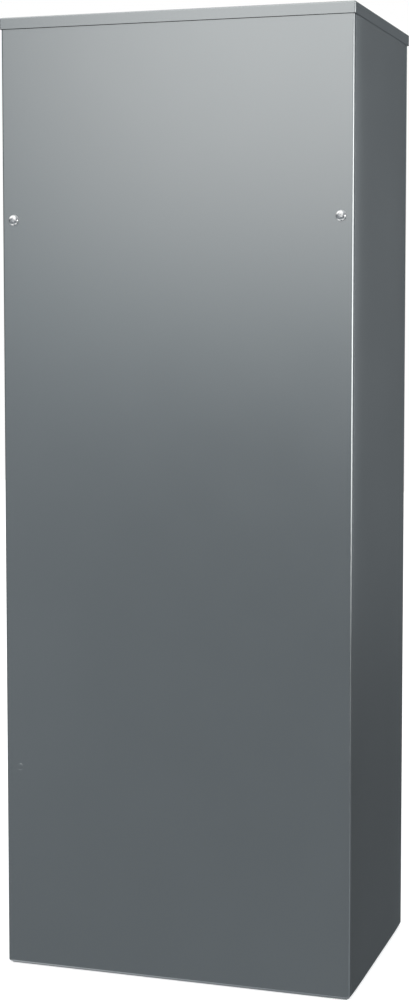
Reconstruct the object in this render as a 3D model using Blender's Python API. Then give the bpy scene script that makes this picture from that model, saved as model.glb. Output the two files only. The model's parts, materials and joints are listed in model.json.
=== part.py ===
"""Home standby generator: a slim upright sheet-metal cabinet with a gas engine, an alternator and an inverter.

The origin is at floor level in the middle of the footprint. The front cover faces -Y, and X is to the
viewer's right. The lid lifts on a hinge at the rear, and the front cover pulls straight forward.
Pieces that touch keep a clearance of GAP.
"""

import math

import bmesh
import bpy
from mathutils import Vector

# Driving dimensions, in metres
WIDTH = 0.450
DEPTH = 0.300
HEIGHT = 1.200
SHEET = 0.0015
GAP = 0.0003
LID_OVERHANG = 0.002
LID_RIM = 0.014
BEND = 0.002
COVER_RETURN = 0.0085
COVER_BOTTOM = 0.002
SCREW_HEIGHT = 0.950
SCREW_EDGE = 0.015
SCREW_HEAD = 0.0125
STUD_HEIGHT = 0.2575
STUD_EDGE = 0.018
FRONT_FLANGE = 0.0315
REAR_FLANGE = 0.0195
PAN_UPSTAND = 0.040
ANCHOR_X = 0.190
ANCHOR_Y = 0.115
ANCHOR_HOLE = 0.0055
ENGINE_SHELF = 0.400
UPPER_SHELF = 0.620
HINGE_STAND_OFF = 0.005
HINGE_RADIUS = 0.0025
HINGE_LENGTH = 0.390
CRANK_X = -0.075
CYLINDER_HEIGHT = 0.165
HEAD_X = 0.078
MIXER_Y = -0.098
GAS_X = -0.150
GAS_HEIGHT = 0.500
HOSE_RADIUS = 0.008
PANEL_FACE = -0.112
PANEL_HEIGHT = 1.055
TAILPIPE = (0.181, 0.250)

# Worked out from them
HALF_WIDTH = WIDTH / 2
FRONT = -DEPTH / 2
REAR = DEPTH / 2
RIM_BOTTOM = HEIGHT - LID_RIM
COVER_TOP = RIM_BOTTOM - 0.001
COVER_BACK = FRONT + SHEET
FLANGE_FRONT = COVER_BACK + 0.0005
FLANGE_BACK = FLANGE_FRONT + SHEET
INNER_X = HALF_WIDTH - SHEET
JOGGLE_X = INNER_X - GAP
FRAME_X = JOGGLE_X - SHEET - 0.0005
FRAME_FRONT = FLANGE_BACK + GAP
PANEL_REAR = REAR - SHEET - GAP
PANEL_INSIDE = PANEL_REAR - SHEET
TOP_FLANGE = HEIGHT - 0.007
HINGE_Y = REAR + HINGE_STAND_OFF
HINGE_Z = RIM_BOTTOM - 0.0005
SCREW_X = HALF_WIDTH - SCREW_EDGE
STUD_X = HALF_WIDTH - STUD_EDGE
ROUND = 24
SMALL = 12

# Which coordinates run across an axis, and which along it
ACROSS = {"X": (1, 2, 0), "Y": (0, 2, 1), "Z": (0, 1, 2)}


# Shapes: each is a pair of lists, the points and the faces

def place(axis, u, v, w):
    """The point at u and v across the axis and w along it."""
    point = [0.0, 0.0, 0.0]
    first, second, along = ACROSS[axis]
    point[first] = u
    point[second] = v
    point[along] = w
    return point


def prism(outline, axis, start, end):
    """The outline, extruded along the axis."""
    count = len(outline)
    points = [place(axis, u, v, start) for u, v in outline]
    points += [place(axis, u, v, end) for u, v in outline]
    faces = [list(range(count)), list(range(2 * count - 1, count - 1, -1))]
    for i in range(count):
        j = (i + 1) % count
        faces.append([i, j, count + j, count + i])
    return points, faces


def block(low, high):
    outline = [(low[0], low[1]), (high[0], low[1]), (high[0], high[1]), (low[0], high[1])]
    return prism(outline, "Z", low[2], high[2])


def circle(u, v, radius, steps=ROUND):
    turn = 2 * math.pi / steps
    return [(u + radius * math.cos(i * turn), v + radius * math.sin(i * turn)) for i in range(steps)]


def rod(axis, centre, radius, start, end, steps=ROUND):
    return prism(circle(centre[0], centre[1], radius, steps), axis, start, end)


def turned(profile, axis, centre, steps=ROUND):
    """The closed profile of (radius, height) points, turned about an axis through the centre."""
    points = []
    rings = []
    for radius, height in profile:
        start = len(points)
        if radius == 0:
            points.append(place(axis, centre[0], centre[1], height))
            rings.append([start] * steps)
        else:
            points += [place(axis, u, v, height) for u, v in circle(centre[0], centre[1], radius, steps)]
            rings.append(list(range(start, start + steps)))
    faces = []
    for i, ring in enumerate(rings):
        following = rings[(i + 1) % len(rings)]
        for k in range(steps):
            n = (k + 1) % steps
            corners = [ring[k], ring[n], following[n], following[k]]
            face = list(dict.fromkeys(corners))
            if len(face) > 2:
                faces.append(face)
    return points, faces


def rounded_rectangle(low, high, radius, steps=3):
    """The outline of a rectangle with round corners."""
    middles = [
        (high[0] - radius, low[1] + radius, -90),
        (high[0] - radius, high[1] - radius, 0),
        (low[0] + radius, high[1] - radius, 90),
        (low[0] + radius, low[1] + radius, 180),
    ]
    outline = []
    for u, v, start in middles:
        for i in range(steps + 1):
            angle = math.radians(start + 90 * i / steps)
            outline.append((u + radius * math.cos(angle), v + radius * math.sin(angle)))
    return outline


def star(centre, teeth, root, tip, width):
    """The outline of a hub with straight radial arms."""
    outline = []
    for i in range(teeth):
        angle = 2 * math.pi * i / teeth
        along = (math.cos(angle), math.sin(angle))
        for radius, side in ((root, -1), (tip, -1), (tip, 1), (root, 1)):
            reach = math.sqrt(radius ** 2 - (width / 2) ** 2)
            u = centre[0] + reach * along[0] - side * width / 2 * along[1]
            v = centre[1] + reach * along[1] + side * width / 2 * along[0]
            outline.append((u, v))
    return outline


def comb(start, end, base, root, tip, count, share):
    """The outline of a bar from start to end, with fins from root to tip."""
    pitch = (end - start) / (count - 1 + share)
    outline = [(end, base), (start, base)]
    for i in range(count):
        left = start + i * pitch
        right = left + share * pitch
        outline += [(left, root), (left, tip), (right, tip), (right, root)]
    return outline[:2] + outline[3:-1]


def folded(path, radii, sheet=SHEET, steps=4):
    """The outline of sheet metal bent along a path, with the sheet to the right of the path."""
    near = []
    far = []
    for i, (u, v) in enumerate(path):
        point = Vector((u, v))
        before = (point - Vector(path[i - 1])).normalized() if i > 0 else None
        after = (Vector(path[i + 1]) - point).normalized() if i < len(path) - 1 else None
        if before is None or after is None:
            heading = after or before
            near.append(point)
            far.append(point + sheet * Vector((heading.y, -heading.x)))
            continue
        turn = math.atan2(before.x * after.y - before.y * after.x, before.dot(after))
        side = 1 if turn > 0 else -1
        right = Vector((before.y, -before.x))
        radius = radii[i - 1]
        if radius == 0:
            bisector = (right + Vector((after.y, -after.x))).normalized()
            near.append(point)
            far.append(point + bisector * sheet / math.cos(turn / 2))
            continue
        centre = point - before * radius * math.tan(abs(turn) / 2) - side * right * radius
        for k in range(steps + 1):
            angle = turn * k / steps
            arm = side * Vector(
                (
                    right.x * math.cos(angle) - right.y * math.sin(angle),
                    right.x * math.sin(angle) + right.y * math.cos(angle),
                )
            )
            near.append(centre + arm * radius)
            far.append(centre + arm * (radius + side * sheet))
    return [tuple(p) for p in near] + [tuple(p) for p in reversed(far)]


def smooth_route(points, per_span):
    """Points on the smooth curve through the given points."""
    ends = [2 * Vector(points[0]) - Vector(points[1])]
    ends += [Vector(p) for p in points]
    ends += [2 * Vector(points[-1]) - Vector(points[-2])]
    route = []
    for a, b, c, d in zip(ends, ends[1:], ends[2:], ends[3:]):
        for i in range(per_span):
            t = i / per_span
            route.append(
                0.5 * (2 * b + (c - a) * t + (2 * a - 5 * b + 4 * c - d) * t ** 2
                       + (3 * b - a - 3 * c + d) * t ** 3)
            )
    route.append(ends[-2])
    return route


# Objects

def material(name, colour, roughness, metallic=0.0):
    made = bpy.data.materials.get(name)
    if made is None:
        made = bpy.data.materials.new(name)
        made.use_nodes = True
        shader = made.node_tree.nodes["Principled BSDF"]
        shader.inputs["Base Color"].default_value = (*colour, 1.0)
        shader.inputs["Roughness"].default_value = roughness
        shader.inputs["Metallic"].default_value = metallic
        made.diffuse_color = (*colour, 1.0)
    return made


def cabinet_paint():
    return material("cabinet_paint", (0.48, 0.51, 0.52), 0.38, 0.3)


def zinc_plate():
    return material("zinc_plate", (0.66, 0.67, 0.68), 0.32, 0.9)


def bright_steel():
    return material("bright_steel", (0.72, 0.72, 0.74), 0.22, 1.0)


def cast_aluminium():
    return material("cast_aluminium", (0.55, 0.56, 0.57), 0.5, 0.8)


def aluminised_steel():
    return material("aluminised_steel", (0.60, 0.59, 0.56), 0.42, 0.9)


def brass():
    return material("brass", (0.72, 0.55, 0.28), 0.3, 1.0)


def black_rubber():
    return material("black_rubber", (0.03, 0.03, 0.032), 0.75)


def grey_foam():
    return material("grey_foam", (0.10, 0.10, 0.11), 0.95)


def black_plastic():
    return material("black_plastic", (0.035, 0.036, 0.04), 0.45)


def grey_plastic():
    return material("grey_plastic", (0.32, 0.33, 0.35), 0.45)


def red_plastic():
    return material("red_plastic", (0.62, 0.04, 0.03), 0.35)


def yellow_plastic():
    return material("yellow_plastic", (0.80, 0.55, 0.05), 0.4)


def white_ceramic():
    return material("white_ceramic", (0.85, 0.84, 0.80), 0.25)


def copper_winding():
    return material("copper_winding", (0.62, 0.30, 0.14), 0.4, 0.8)


def mesh_object(name, shapes, origin=(0.0, 0.0, 0.0)):
    """One object from the shapes, with its normals facing out and its origin at the given point."""
    mesh = bpy.data.meshes.new(name)
    bm = bmesh.new()
    for points, faces in shapes:
        made = [bm.verts.new(Vector(p) - Vector(origin)) for p in points]
        for face in faces:
            bm.faces.new([made[i] for i in face])
    bmesh.ops.recalc_face_normals(bm, faces=bm.faces)
    bm.to_mesh(mesh)
    bm.free()
    thing = bpy.data.objects.new(name, mesh)
    thing.location = origin
    bpy.context.scene.collection.objects.link(thing)
    return thing


def helper(name, shapes):
    """A shape that only joins or cuts another one."""
    thing = mesh_object(name, shapes)
    thing.hide_render = True
    thing.display_type = "WIRE"
    return thing


def boolean(thing, operation, other):
    modifier = thing.modifiers.new(operation.lower(), "BOOLEAN")
    modifier.operation = operation
    modifier.solver = "EXACT"
    modifier.object = other


def make(name, shape, finish, add=(), cut=(), pivot=None, bevel=0.0):
    """A piece: the shape, bevelled, joined with each shape in add, then cut by those in cut."""
    origin = pivot.location if pivot else (0.0, 0.0, 0.0)
    thing = mesh_object(name, [shape], origin)
    if pivot:
        thing.parent = pivot
        thing.location = (0.0, 0.0, 0.0)
    thing.data.materials.append(finish)
    thing.data.shade_smooth()
    thing.data.set_sharp_from_angle(angle=math.radians(35))
    if bevel:
        rounding = thing.modifiers.new("bevel", "BEVEL")
        rounding.width = bevel
        rounding.segments = 2
        rounding.limit_method = "ANGLE"
    for i, extra in enumerate(add):
        boolean(thing, "UNION", helper(f"{name}_join_{i}", [extra]))
    if cut:
        boolean(thing, "DIFFERENCE", helper(f"{name}_cut", cut))
    return thing


def pivot_at(name, location):
    empty = bpy.data.objects.new(name, None)
    empty.location = location
    empty.empty_display_size = 0.03
    bpy.context.scene.collection.objects.link(empty)
    return empty


def pipe(name, route, radius, finish, resolution=2):
    """A solid round bar along the route."""
    curve = bpy.data.curves.new(name, "CURVE")
    curve.dimensions = "3D"
    curve.bevel_depth = radius
    curve.bevel_resolution = resolution
    curve.use_fill_caps = True
    spline = curve.splines.new("POLY")
    spline.points.add(len(route) - 1)
    for point, place_on_route in zip(spline.points, route):
        point.co = (*place_on_route, 1.0)
    thing = bpy.data.objects.new(name, curve)
    curve.materials.append(finish)
    bpy.context.scene.collection.objects.link(thing)
    return thing


# The cabinet

def base_pan():
    low = (-FRAME_X, FRAME_FRONT, 0.0)
    high = (FRAME_X, PANEL_INSIDE - GAP, PAN_UPSTAND)
    floor = 0.002
    hollow = block(
        (low[0] + SHEET, low[1] + SHEET, floor),
        (high[0] - SHEET, high[1] - SHEET, PAN_UPSTAND + 0.01),
    )
    anchors = [
        rod("Z", (x * ANCHOR_X, y * ANCHOR_Y), ANCHOR_HOLE, -0.01, 0.0021, SMALL)
        for x in (-1, 1)
        for y in (-1, 1)
    ]
    pan = make("base_pan", block(low, high), zinc_plate(), cut=[hollow])
    boolean(pan, "DIFFERENCE", helper("base_pan_anchor_cut", anchors))


def side_panel(name, side):
    """A folded side with a lip at the front, a flange at the rear and one on top."""
    path = [
        (HALF_WIDTH - REAR_FLANGE, REAR),
        (HALF_WIDTH, REAR),
        (HALF_WIDTH, FRONT + COVER_RETURN + 0.003),
        (JOGGLE_X, FRONT + COVER_RETURN + 0.001),
        (JOGGLE_X, FLANGE_FRONT),
        (JOGGLE_X - FRONT_FLANGE, FLANGE_FRONT),
    ]
    outline = [(side * u, v) for u, v in folded(path, [0.002, 0, 0, 0.002])]
    top = block(
        (min(side * 0.2035, side * (INNER_X + 0.0005)), -0.108, TOP_FLANGE - SHEET),
        (max(side * 0.2035, side * (INNER_X + 0.0005)), PANEL_INSIDE - GAP, TOP_FLANGE),
    )
    holes = [
        rod("Y", (side * SCREW_X, SCREW_HEIGHT), 0.0045, FRONT, FLANGE_BACK + 0.002, SMALL),
        rod("Y", (side * STUD_X, STUD_HEIGHT), 0.007, FRONT, FLANGE_BACK + 0.002, SMALL),
    ]
    make(name, prism(outline, "Z", COVER_BOTTOM, TOP_FLANGE), cabinet_paint(), add=[top], cut=holes)


def louvre_slots(columns, first, last, count, height):
    """Rows of slots through the rear panel."""
    slots = []
    for left, right in columns:
        for i in range(count):
            z = first + (last - first) * i / (count - 1)
            slots.append(block((left, PANEL_INSIDE - 0.01, z), (right, REAR + 0.01, z + height)))
    return slots


def rear_panel():
    x = FRAME_X
    top = block((-0.2032, 0.112, TOP_FLANGE - SHEET), (0.2032, PANEL_REAR - SHEET / 2, TOP_FLANGE))
    columns = [(-0.165, -0.025), (0.005, 0.145)]
    slots = louvre_slots(columns, 0.070, 0.190, 7, 0.008)
    slots += louvre_slots(columns, 0.700, 1.040, 18, 0.008)
    slots.append(block((-0.200, PANEL_INSIDE - 0.01, 0.430), (-0.050, REAR + 0.01, 0.590)))
    slots.append(rod("Y", TAILPIPE, 0.022, PANEL_INSIDE - 0.01, REAR + 0.01))
    shape = block((-x, PANEL_INSIDE, 0.0025), (x, PANEL_REAR, TOP_FLANGE))
    make("rear_panel", shape, cabinet_paint(), add=[top], cut=slots)


def service_recess():
    """An open tray in the rear panel, where the gas pipe and the cable come in."""
    low = (-0.200 + GAP, 0.100, 0.430 + GAP)
    high = (-0.050 - GAP, PANEL_REAR, 0.590 - GAP)
    wall = 0.0012
    hollow = block(
        (low[0] + wall, low[1] + wall, low[2] + wall),
        (high[0] - wall, high[1] + 0.01, high[2] - wall),
    )
    tray = make("service_recess", block(low, high), cabinet_paint(), cut=[hollow])
    holes = [
        rod("Y", (GAS_X, GAS_HEIGHT), 0.012, 0.09, 0.1013, SMALL),
        rod("Y", (-0.085, 0.480), 0.0125, 0.09, 0.1013, SMALL),
    ]
    boolean(tray, "DIFFERENCE", helper("service_recess_hole_cut", holes))


def front_top_rail():
    path = [(-0.110, TOP_FLANGE), (FRAME_FRONT, TOP_FLANGE), (FRAME_FRONT, 1.150), (-0.130, 1.150)]
    outline = folded(path[::-1], [0, 0])
    make("front_top_rail", prism(outline, "X", -FRAME_X, FRAME_X), zinc_plate())


def shelf(name, height, holes):
    low = (-FRAME_X, -0.130, height)
    high = (FRAME_X, PANEL_INSIDE - GAP, height + SHEET)
    lip = block((low[0], low[1], height - 0.015), (high[0], low[1] + SHEET, height + SHEET / 2))
    make(name, block(low, high), zinc_plate(), add=[lip], cut=holes)


def shelves():
    above = ENGINE_SHELF + 0.01
    below = ENGINE_SHELF - 0.01
    shelf(
        "engine_bay_shelf",
        ENGINE_SHELF,
        [
            rod("Z", (CRANK_X, 0.0), 0.055, below, above),
            rod("Z", (0.012, -0.105), 0.012, below, above, SMALL),
            block((0.060, 0.070, below), (0.150, 0.120, above)),
        ],
    )
    shelf(
        "upper_shelf",
        UPPER_SHELF,
        [block((0.060, 0.070, UPPER_SHELF - 0.01), (0.150, 0.120, UPPER_SHELF + 0.01))],
    )


# The lid and its hinge

def hinge_knuckles(cabinet_side):
    """The places along X of the knuckles of one leaf: the two leaves' knuckles alternate."""
    count = 7
    length = HINGE_LENGTH / count
    places = []
    for i in range(count):
        if (i % 2 == 0) == cabinet_side:
            start = -HINGE_LENGTH / 2 + i * length
            places.append((start + GAP, start + length - GAP))
    return places


def hinge_leaf(name, plate, neck, cabinet_side, pivot):
    """A flat leaf whose knuckles stand out on necks."""
    barrel = circle(HINGE_Y, HINGE_Z, HINGE_RADIUS, 16)
    parts = []
    for start, end in hinge_knuckles(cabinet_side):
        parts.append(prism(neck, "X", start, end))
        parts.append(prism(barrel, "X", start, end))
    outline = [(plate[0], plate[2]), (plate[1], plate[2]), (plate[1], plate[3]), (plate[0], plate[3])]
    half = HINGE_LENGTH / 2
    bore = rod("X", (HINGE_Y, HINGE_Z), 0.0015, -half - 0.01, half + 0.01, SMALL)
    make(name, prism(outline, "X", -half, half), zinc_plate(), add=parts, cut=[bore], pivot=pivot)


def lid_group():
    pivot = pivot_at("lid_pivot", (0.0, HINGE_Y, HINGE_Z))
    x = HALF_WIDTH + LID_OVERHANG
    y = REAR + LID_OVERHANG
    outline = rounded_rectangle((-x, -y), (x, y), BEND)
    inside = rounded_rectangle((-x + SHEET, -y + SHEET), (x - SHEET, y - SHEET), BEND - SHEET)
    hollow = prism(inside, "Z", RIM_BOTTOM - 0.01, HEIGHT - SHEET)
    make("lid", prism(outline, "Z", RIM_BOTTOM, HEIGHT), cabinet_paint(), cut=[hollow], pivot=pivot)
    ring = block((-0.216, -0.140, TOP_FLANGE + GAP), (0.216, 0.140, HEIGHT - SHEET - GAP))
    inner = block((-0.208, -0.132, TOP_FLANGE - 0.01), (0.208, 0.132, HEIGHT + 0.01))
    make("lid_seal", ring, black_rubber(), cut=[inner], pivot=pivot)
    lid_plate = (y + GAP, y + GAP + 0.001, HINGE_Z + 0.0035, HEIGHT - 0.001)
    lid_neck = [
        (y + GAP, HINGE_Z),
        (y + 0.002, HINGE_Z),
        (y + 0.002, HINGE_Z + 0.002),
        (y + GAP + 0.001, HINGE_Z + 0.005),
        (y + GAP, HINGE_Z + 0.005),
    ]
    hinge_leaf("hinge_leaf_lid", lid_plate, lid_neck, False, pivot)
    leaf = REAR + GAP
    cabinet_plate = (leaf, leaf + 0.0012, 1.150, HINGE_Z - 0.0045)
    cabinet_neck = [
        (leaf, HINGE_Z - 0.006),
        (leaf + 0.0012, HINGE_Z - 0.006),
        (HINGE_Y - 0.001, HINGE_Z - 0.0018),
        (HINGE_Y - 0.0018, HINGE_Z - 0.0002),
        (HINGE_Y - 0.0023, HINGE_Z - 0.0005),
    ]
    hinge_leaf("hinge_leaf_cabinet", cabinet_plate, cabinet_neck, True, None)
    half = HINGE_LENGTH / 2
    make("hinge_pin", rod("X", (HINGE_Y, HINGE_Z), 0.0012, -half, half, 10), bright_steel())


# The front cover and what holds it

def front_cover():
    pivot = pivot_at("cover_pivot", (0.0, FRONT, COVER_BOTTOM))
    back = FRONT + COVER_RETURN
    path = [(HALF_WIDTH, back), (HALF_WIDTH, FRONT), (-HALF_WIDTH, FRONT), (-HALF_WIDTH, back)]
    studs = [
        rod("Y", (side * STUD_X, STUD_HEIGHT), 0.0035, COVER_BACK - SHEET / 2, -0.136, SMALL)
        for side in (-1, 1)
    ]
    holes = [
        rod("Y", (side * SCREW_X, SCREW_HEIGHT), 0.0036, FRONT - 0.01, COVER_BACK + 0.001, SMALL)
        for side in (-1, 1)
    ]
    shape = prism(folded(path, [BEND, BEND]), "Z", COVER_BOTTOM, COVER_TOP)
    make("front_cover", shape, cabinet_paint(), add=studs, cut=holes, pivot=pivot)
    foam = block((-0.185, COVER_BACK + GAP, 0.050), (0.185, COVER_BACK + 0.010, 1.140))
    make("cover_foam", foam, grey_foam(), pivot=pivot)
    for side, label in ((-1, "left"), (1, "right")):
        cover_fixings(side, label, pivot)


def cover_fixings(side, label, pivot):
    """On one side: the screw, its clip nut, and the grommet that takes the stud."""
    centre = (side * SCREW_X, SCREW_HEIGHT)
    seat = FRONT - GAP
    rise = 0.0033
    half = SCREW_HEAD / 2
    dome = [(half, seat), (half, seat - 0.0011)]
    for i in range(1, 4):
        angle = math.radians(30 * i)
        dome.append((half * math.cos(angle), seat - 0.0011 - (rise - 0.0011) * math.sin(angle)))
    dome[-1] = (0, seat - rise)
    profile = dome + [(0, -0.134), (0.0026, -0.134), (0.003, -0.1345), (0.003, seat)]
    recess = [
        block(
            (centre[0] - a, seat - rise - 0.01, centre[1] - b),
            (centre[0] + a, seat - 0.0012, centre[1] + b),
        )
        for a, b in ((0.0027, 0.0007), (0.0007, 0.0027))
    ]
    screw = make(f"cover_screw_{label}", turned(profile, "Y", centre, 16), bright_steel(), pivot=pivot)
    for i, slot in enumerate(recess):
        boolean(screw, "DIFFERENCE", helper(f"cover_screw_{label}_slot_{i}", [slot]))
    nut = block(
        (centre[0] - 0.007, FLANGE_BACK + GAP, centre[1] - 0.009),
        (centre[0] + 0.007, FLANGE_BACK + 0.005, centre[1] + 0.009),
    )
    hole = rod("Y", centre, 0.0034, FLANGE_BACK - 0.005, FLANGE_BACK + 0.01, SMALL)
    make(f"cover_nut_{label}", nut, zinc_plate(), cut=[hole])
    ring = [
        (0.0039, FLANGE_FRONT + GAP / 2),
        (0.0067, FLANGE_FRONT + GAP / 2),
        (0.0067, FLANGE_BACK + GAP),
        (0.0095, FLANGE_BACK + GAP),
        (0.0085, FLANGE_BACK + 0.003),
        (0.0039, FLANGE_BACK + 0.003),
    ]
    shape = turned(ring, "Y", (side * STUD_X, STUD_HEIGHT), 16)
    make(f"cover_grommet_{label}", shape, black_rubber())


# The engine, on four isolators

def isolators_and_cradle():
    profile = [
        (0, 0.0023), (0.015, 0.0023), (0.015, 0.006), (0.012, 0.010),
        (0.012, 0.0206), (0.015, 0.0246), (0.015, 0.0283), (0, 0.0283),
    ]
    for y, end in ((-0.088, "front"), (0.088, "rear")):
        for x, side in ((-0.175, "left"), (0.040, "right")):
            make(f"isolator_{end}_{side}", turned(profile, "Z", (x, y), 16), black_rubber())
    window = prism(rounded_rectangle((-0.125, -0.050), (-0.010, 0.050), 0.015), "Z", 0.02, 0.05)
    outline = rounded_rectangle((-0.195, -0.108), (0.060, 0.108), 0.018)
    make("engine_cradle", prism(outline, "Z", 0.0286, 0.0409), cast_aluminium(), cut=[window])


def crankcase():
    sump = prism(rounded_rectangle((-0.160, -0.080), (0.015, 0.080), 0.025), "Z", 0.0412, 0.095)
    barrel = rod("Z", (CRANK_X, 0.0), 0.068, 0.09, 0.235, 32)
    seat = prism(rounded_rectangle((-0.048, 0.117), (0.048, 0.213), 0.010), "X", CRANK_X, -0.005)
    filler = block((-0.150, -0.116, 0.062), (-0.115, -0.070, 0.095))
    cavity = turned(
        [(0, 0.062), (0.052, 0.062), (0.052, 0.212), (0.0135, 0.212), (0.0135, 0.245), (0, 0.245)],
        "Z",
        (CRANK_X, 0.0),
    )
    thing = make("crankcase", sump, cast_aluminium(), add=[barrel, seat, filler], cut=[cavity])
    cylinder = rod("X", (0.0, CYLINDER_HEIGHT), 0.031, CRANK_X, 0.0)
    boolean(thing, "DIFFERENCE", helper("crankcase_cylinder_cut", [cylinder]))
    dip = rod("Z", (-0.1325, -0.100), 0.006, 0.066, 0.105, SMALL)
    boolean(thing, "DIFFERENCE", helper("crankcase_dipstick_cut", [dip]))


def cylinder_barrel():
    """A round barrel with cooling fins, lying along X."""
    start, end = -0.0047, 0.0600
    fins, root, tip = 6, 0.039, 0.050
    pitch = (end - start) / fins
    profile = [(0.031, start), (root, start)]
    for i in range(fins):
        left = start + (i + 0.35) * pitch
        right = left + 0.3 * pitch
        profile += [(root, left), (tip, left), (tip, right), (root, right)]
    profile += [(root, end), (0.031, end)]
    make("cylinder_barrel", turned(profile, "X", (0.0, CYLINDER_HEIGHT), 18), cast_aluminium())


def cylinder_head():
    low, high = CYLINDER_HEIGHT - 0.050, CYLINDER_HEIGHT + 0.050
    outline = comb(0.0603, 0.0950, low, high - 0.020, high, 4, 0.4)
    make("cylinder_head", prism(outline, "Y", -0.050, 0.050), cast_aluminium())
    cover = block((0.0953, -0.040, low + 0.005), (0.125, 0.040, high - 0.005))
    make("rocker_cover", cover, black_plastic(), bevel=0.006)
    plug = [
        (0, -0.0503), (0.008, -0.0503), (0.008, -0.0530), (0.0100, -0.0530), (0.0100, -0.0600),
        (0.0055, -0.0610), (0.0048, -0.0780), (0.0028, -0.0790), (0.0028, -0.0860), (0, -0.0860),
    ]
    make("spark_plug", turned(plug, "Y", (HEAD_X, 0.140), SMALL), white_ceramic())


def alternator():
    """The stator on the crankcase, and on the crankshaft the outer rotor and the fan."""
    centre = (CRANK_X, 0.0)
    hole = rod("Z", centre, 0.020, 0.2, 0.3)
    stator = prism(star(centre, 12, 0.045, 0.070, 0.012), "Z", 0.2385, 0.2680)
    make("stator", stator, copper_winding(), cut=[hole])
    pivot = pivot_at("crank_pivot", (CRANK_X, 0.0, 0.150))
    shaft = turned([(0, 0.068), (0.0125, 0.068), (0.0125, 0.330), (0, 0.330)], "Z", centre)
    webs = [
        rod("Z", centre, 0.046, 0.128, 0.145, ROUND),
        rod("Z", centre, 0.046, 0.185, 0.202, ROUND),
    ]
    crankshaft = make("crankshaft", shaft, bright_steel(), add=webs, pivot=pivot)
    boolean(crankshaft, "UNION", helper("crankshaft_pin", [rod("Z", (CRANK_X + 0.025, 0.0), 0.014, 0.14, 0.19)]))
    cup = [
        (0.0128, 0.2950), (0.0128, 0.2850), (0.024, 0.2850), (0.024, 0.2880), (0.076, 0.2880),
        (0.076, 0.2400), (0.084, 0.2400), (0.084, 0.2950),
    ]
    make("rotor", turned(cup, "Z", centre, 32), cast_aluminium(), pivot=pivot)
    plate = turned([(0.0128, 0.2953), (0.080, 0.2953), (0.080, 0.2975), (0.0128, 0.2975)], "Z", centre)
    blades = prism(star(centre, 12, 0.030, 0.079, 0.003), "Z", 0.2965, 0.3250)
    fan = make("cooling_fan", plate, black_plastic(), add=[blades], pivot=pivot)
    hub = rod("Z", centre, 0.0128, 0.28, 0.34)
    boolean(fan, "DIFFERENCE", helper("cooling_fan_hub_cut", [hub]))


def blower_housing():
    """A round cowl over the fan, with a duct that sends the air over the cylinder."""
    centre = (CRANK_X, 0.0)
    outer = rod("Z", centre, 0.092, 0.2385, 0.345, 32)
    duct = block((CRANK_X, -0.056, 0.2385), (0.126, 0.056, 0.345))
    inner = rod("Z", centre, 0.0895, 0.23, 0.3425, 32)
    duct_inner = block((CRANK_X, -0.0535, 0.23), (0.1235, 0.0535, 0.3425))
    inlet = rod("Z", centre, 0.058, 0.33, 0.36, 32)
    cowl = make("blower_housing", outer, black_plastic(), add=[duct], cut=[inner])
    boolean(cowl, "DIFFERENCE", helper("blower_housing_duct_cut", [duct_inner]))
    boolean(cowl, "DIFFERENCE", helper("blower_housing_inlet_cut", [inlet]))


def exhaust():
    route = smooth_route(
        [
            (HEAD_X, 0.0506, 0.165), (HEAD_X, 0.0540, 0.165), (HEAD_X, 0.0580, 0.165),
            (HEAD_X + 0.008, 0.073, 0.165), (HEAD_X + 0.026, 0.080, 0.165),
            (HEAD_X + 0.045, 0.080, 0.165), (HEAD_X + 0.058, 0.080, 0.165), (0.1496, 0.080, 0.165),
        ],
        3,
    )
    pipe("exhaust_pipe", route, 0.012, aluminised_steel())
    legs = [
        block((0.165, y, 0.0025), (0.168, y + 0.020, 0.070))
        for y in (-0.035, 0.060)
    ]
    body = block((0.150, -0.055, 0.060), (0.212, 0.100, 0.300))
    make("muffler", body, aluminised_steel(), add=legs, bevel=0.010)
    bore = 0.015
    outlet = [
        (bore, 0.1490), (0.017, 0.1490), (0.017, 0.1003), (0, 0.1003), (0, 0.110), (bore, 0.110),
    ]
    make("tailpipe", turned(outlet, "Y", TAILPIPE), aluminised_steel())


def intake():
    """The gas mixer with its throttle lever, and the air cleaner on top of it."""
    centre = (HEAD_X, MIXER_Y)
    neck = rod("Y", (HEAD_X, 0.185), 0.015, MIXER_Y, -0.0503, 16)
    boss = rod("X", (MIXER_Y, 0.205), 0.008, HEAD_X, HEAD_X + 0.024, SMALL)
    port = rod("X", (MIXER_Y, 0.200), 0.007, HEAD_X - 0.0295, HEAD_X, SMALL)
    throat = rod("Z", centre, 0.012, 0.185, 0.24, 16)
    body = rod("Z", centre, 0.020, 0.167, 0.2247)
    make("gas_mixer", body, cast_aluminium(), add=[neck, boss, port], cut=[throat])
    pivot = pivot_at("throttle_pivot", (HEAD_X + 0.0255, MIXER_Y, 0.205))
    x = HEAD_X + 0.0243
    arm = rounded_rectangle((MIXER_Y - 0.033, 0.200), (MIXER_Y + 0.009, 0.210), 0.0045)
    make("throttle_lever", prism(arm, "X", x, x + 0.0025), zinc_plate(), pivot=pivot)
    box = block((0.032, -0.134, 0.225), (0.205, -0.062, 0.345))
    inlet = rod("Z", centre, 0.012, 0.21, 0.26, 16)
    make("air_cleaner", box, black_plastic(), cut=[inlet], bevel=0.006)


def oil_filler():
    centre = (-0.1325, -0.100)
    ring = [(0.0085, 0.0953), (0.010, 0.0953), (0.010, 0.2850), (0.0085, 0.2850)]
    make("oil_fill_tube", turned(ring, "Z", centre, 16), bright_steel())
    pivot = pivot_at("dipstick_pivot", (*centre, 0.285))
    stick = [
        (0, 0.072), (0.0022, 0.074), (0.0022, 0.2853), (0.016, 0.2853),
        (0.016, 0.2990), (0.012, 0.3020), (0, 0.3020),
    ]
    make("dipstick", turned(stick, "Z", centre, 16), yellow_plastic(), pivot=pivot)


# The middle bay: battery and gas train

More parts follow.
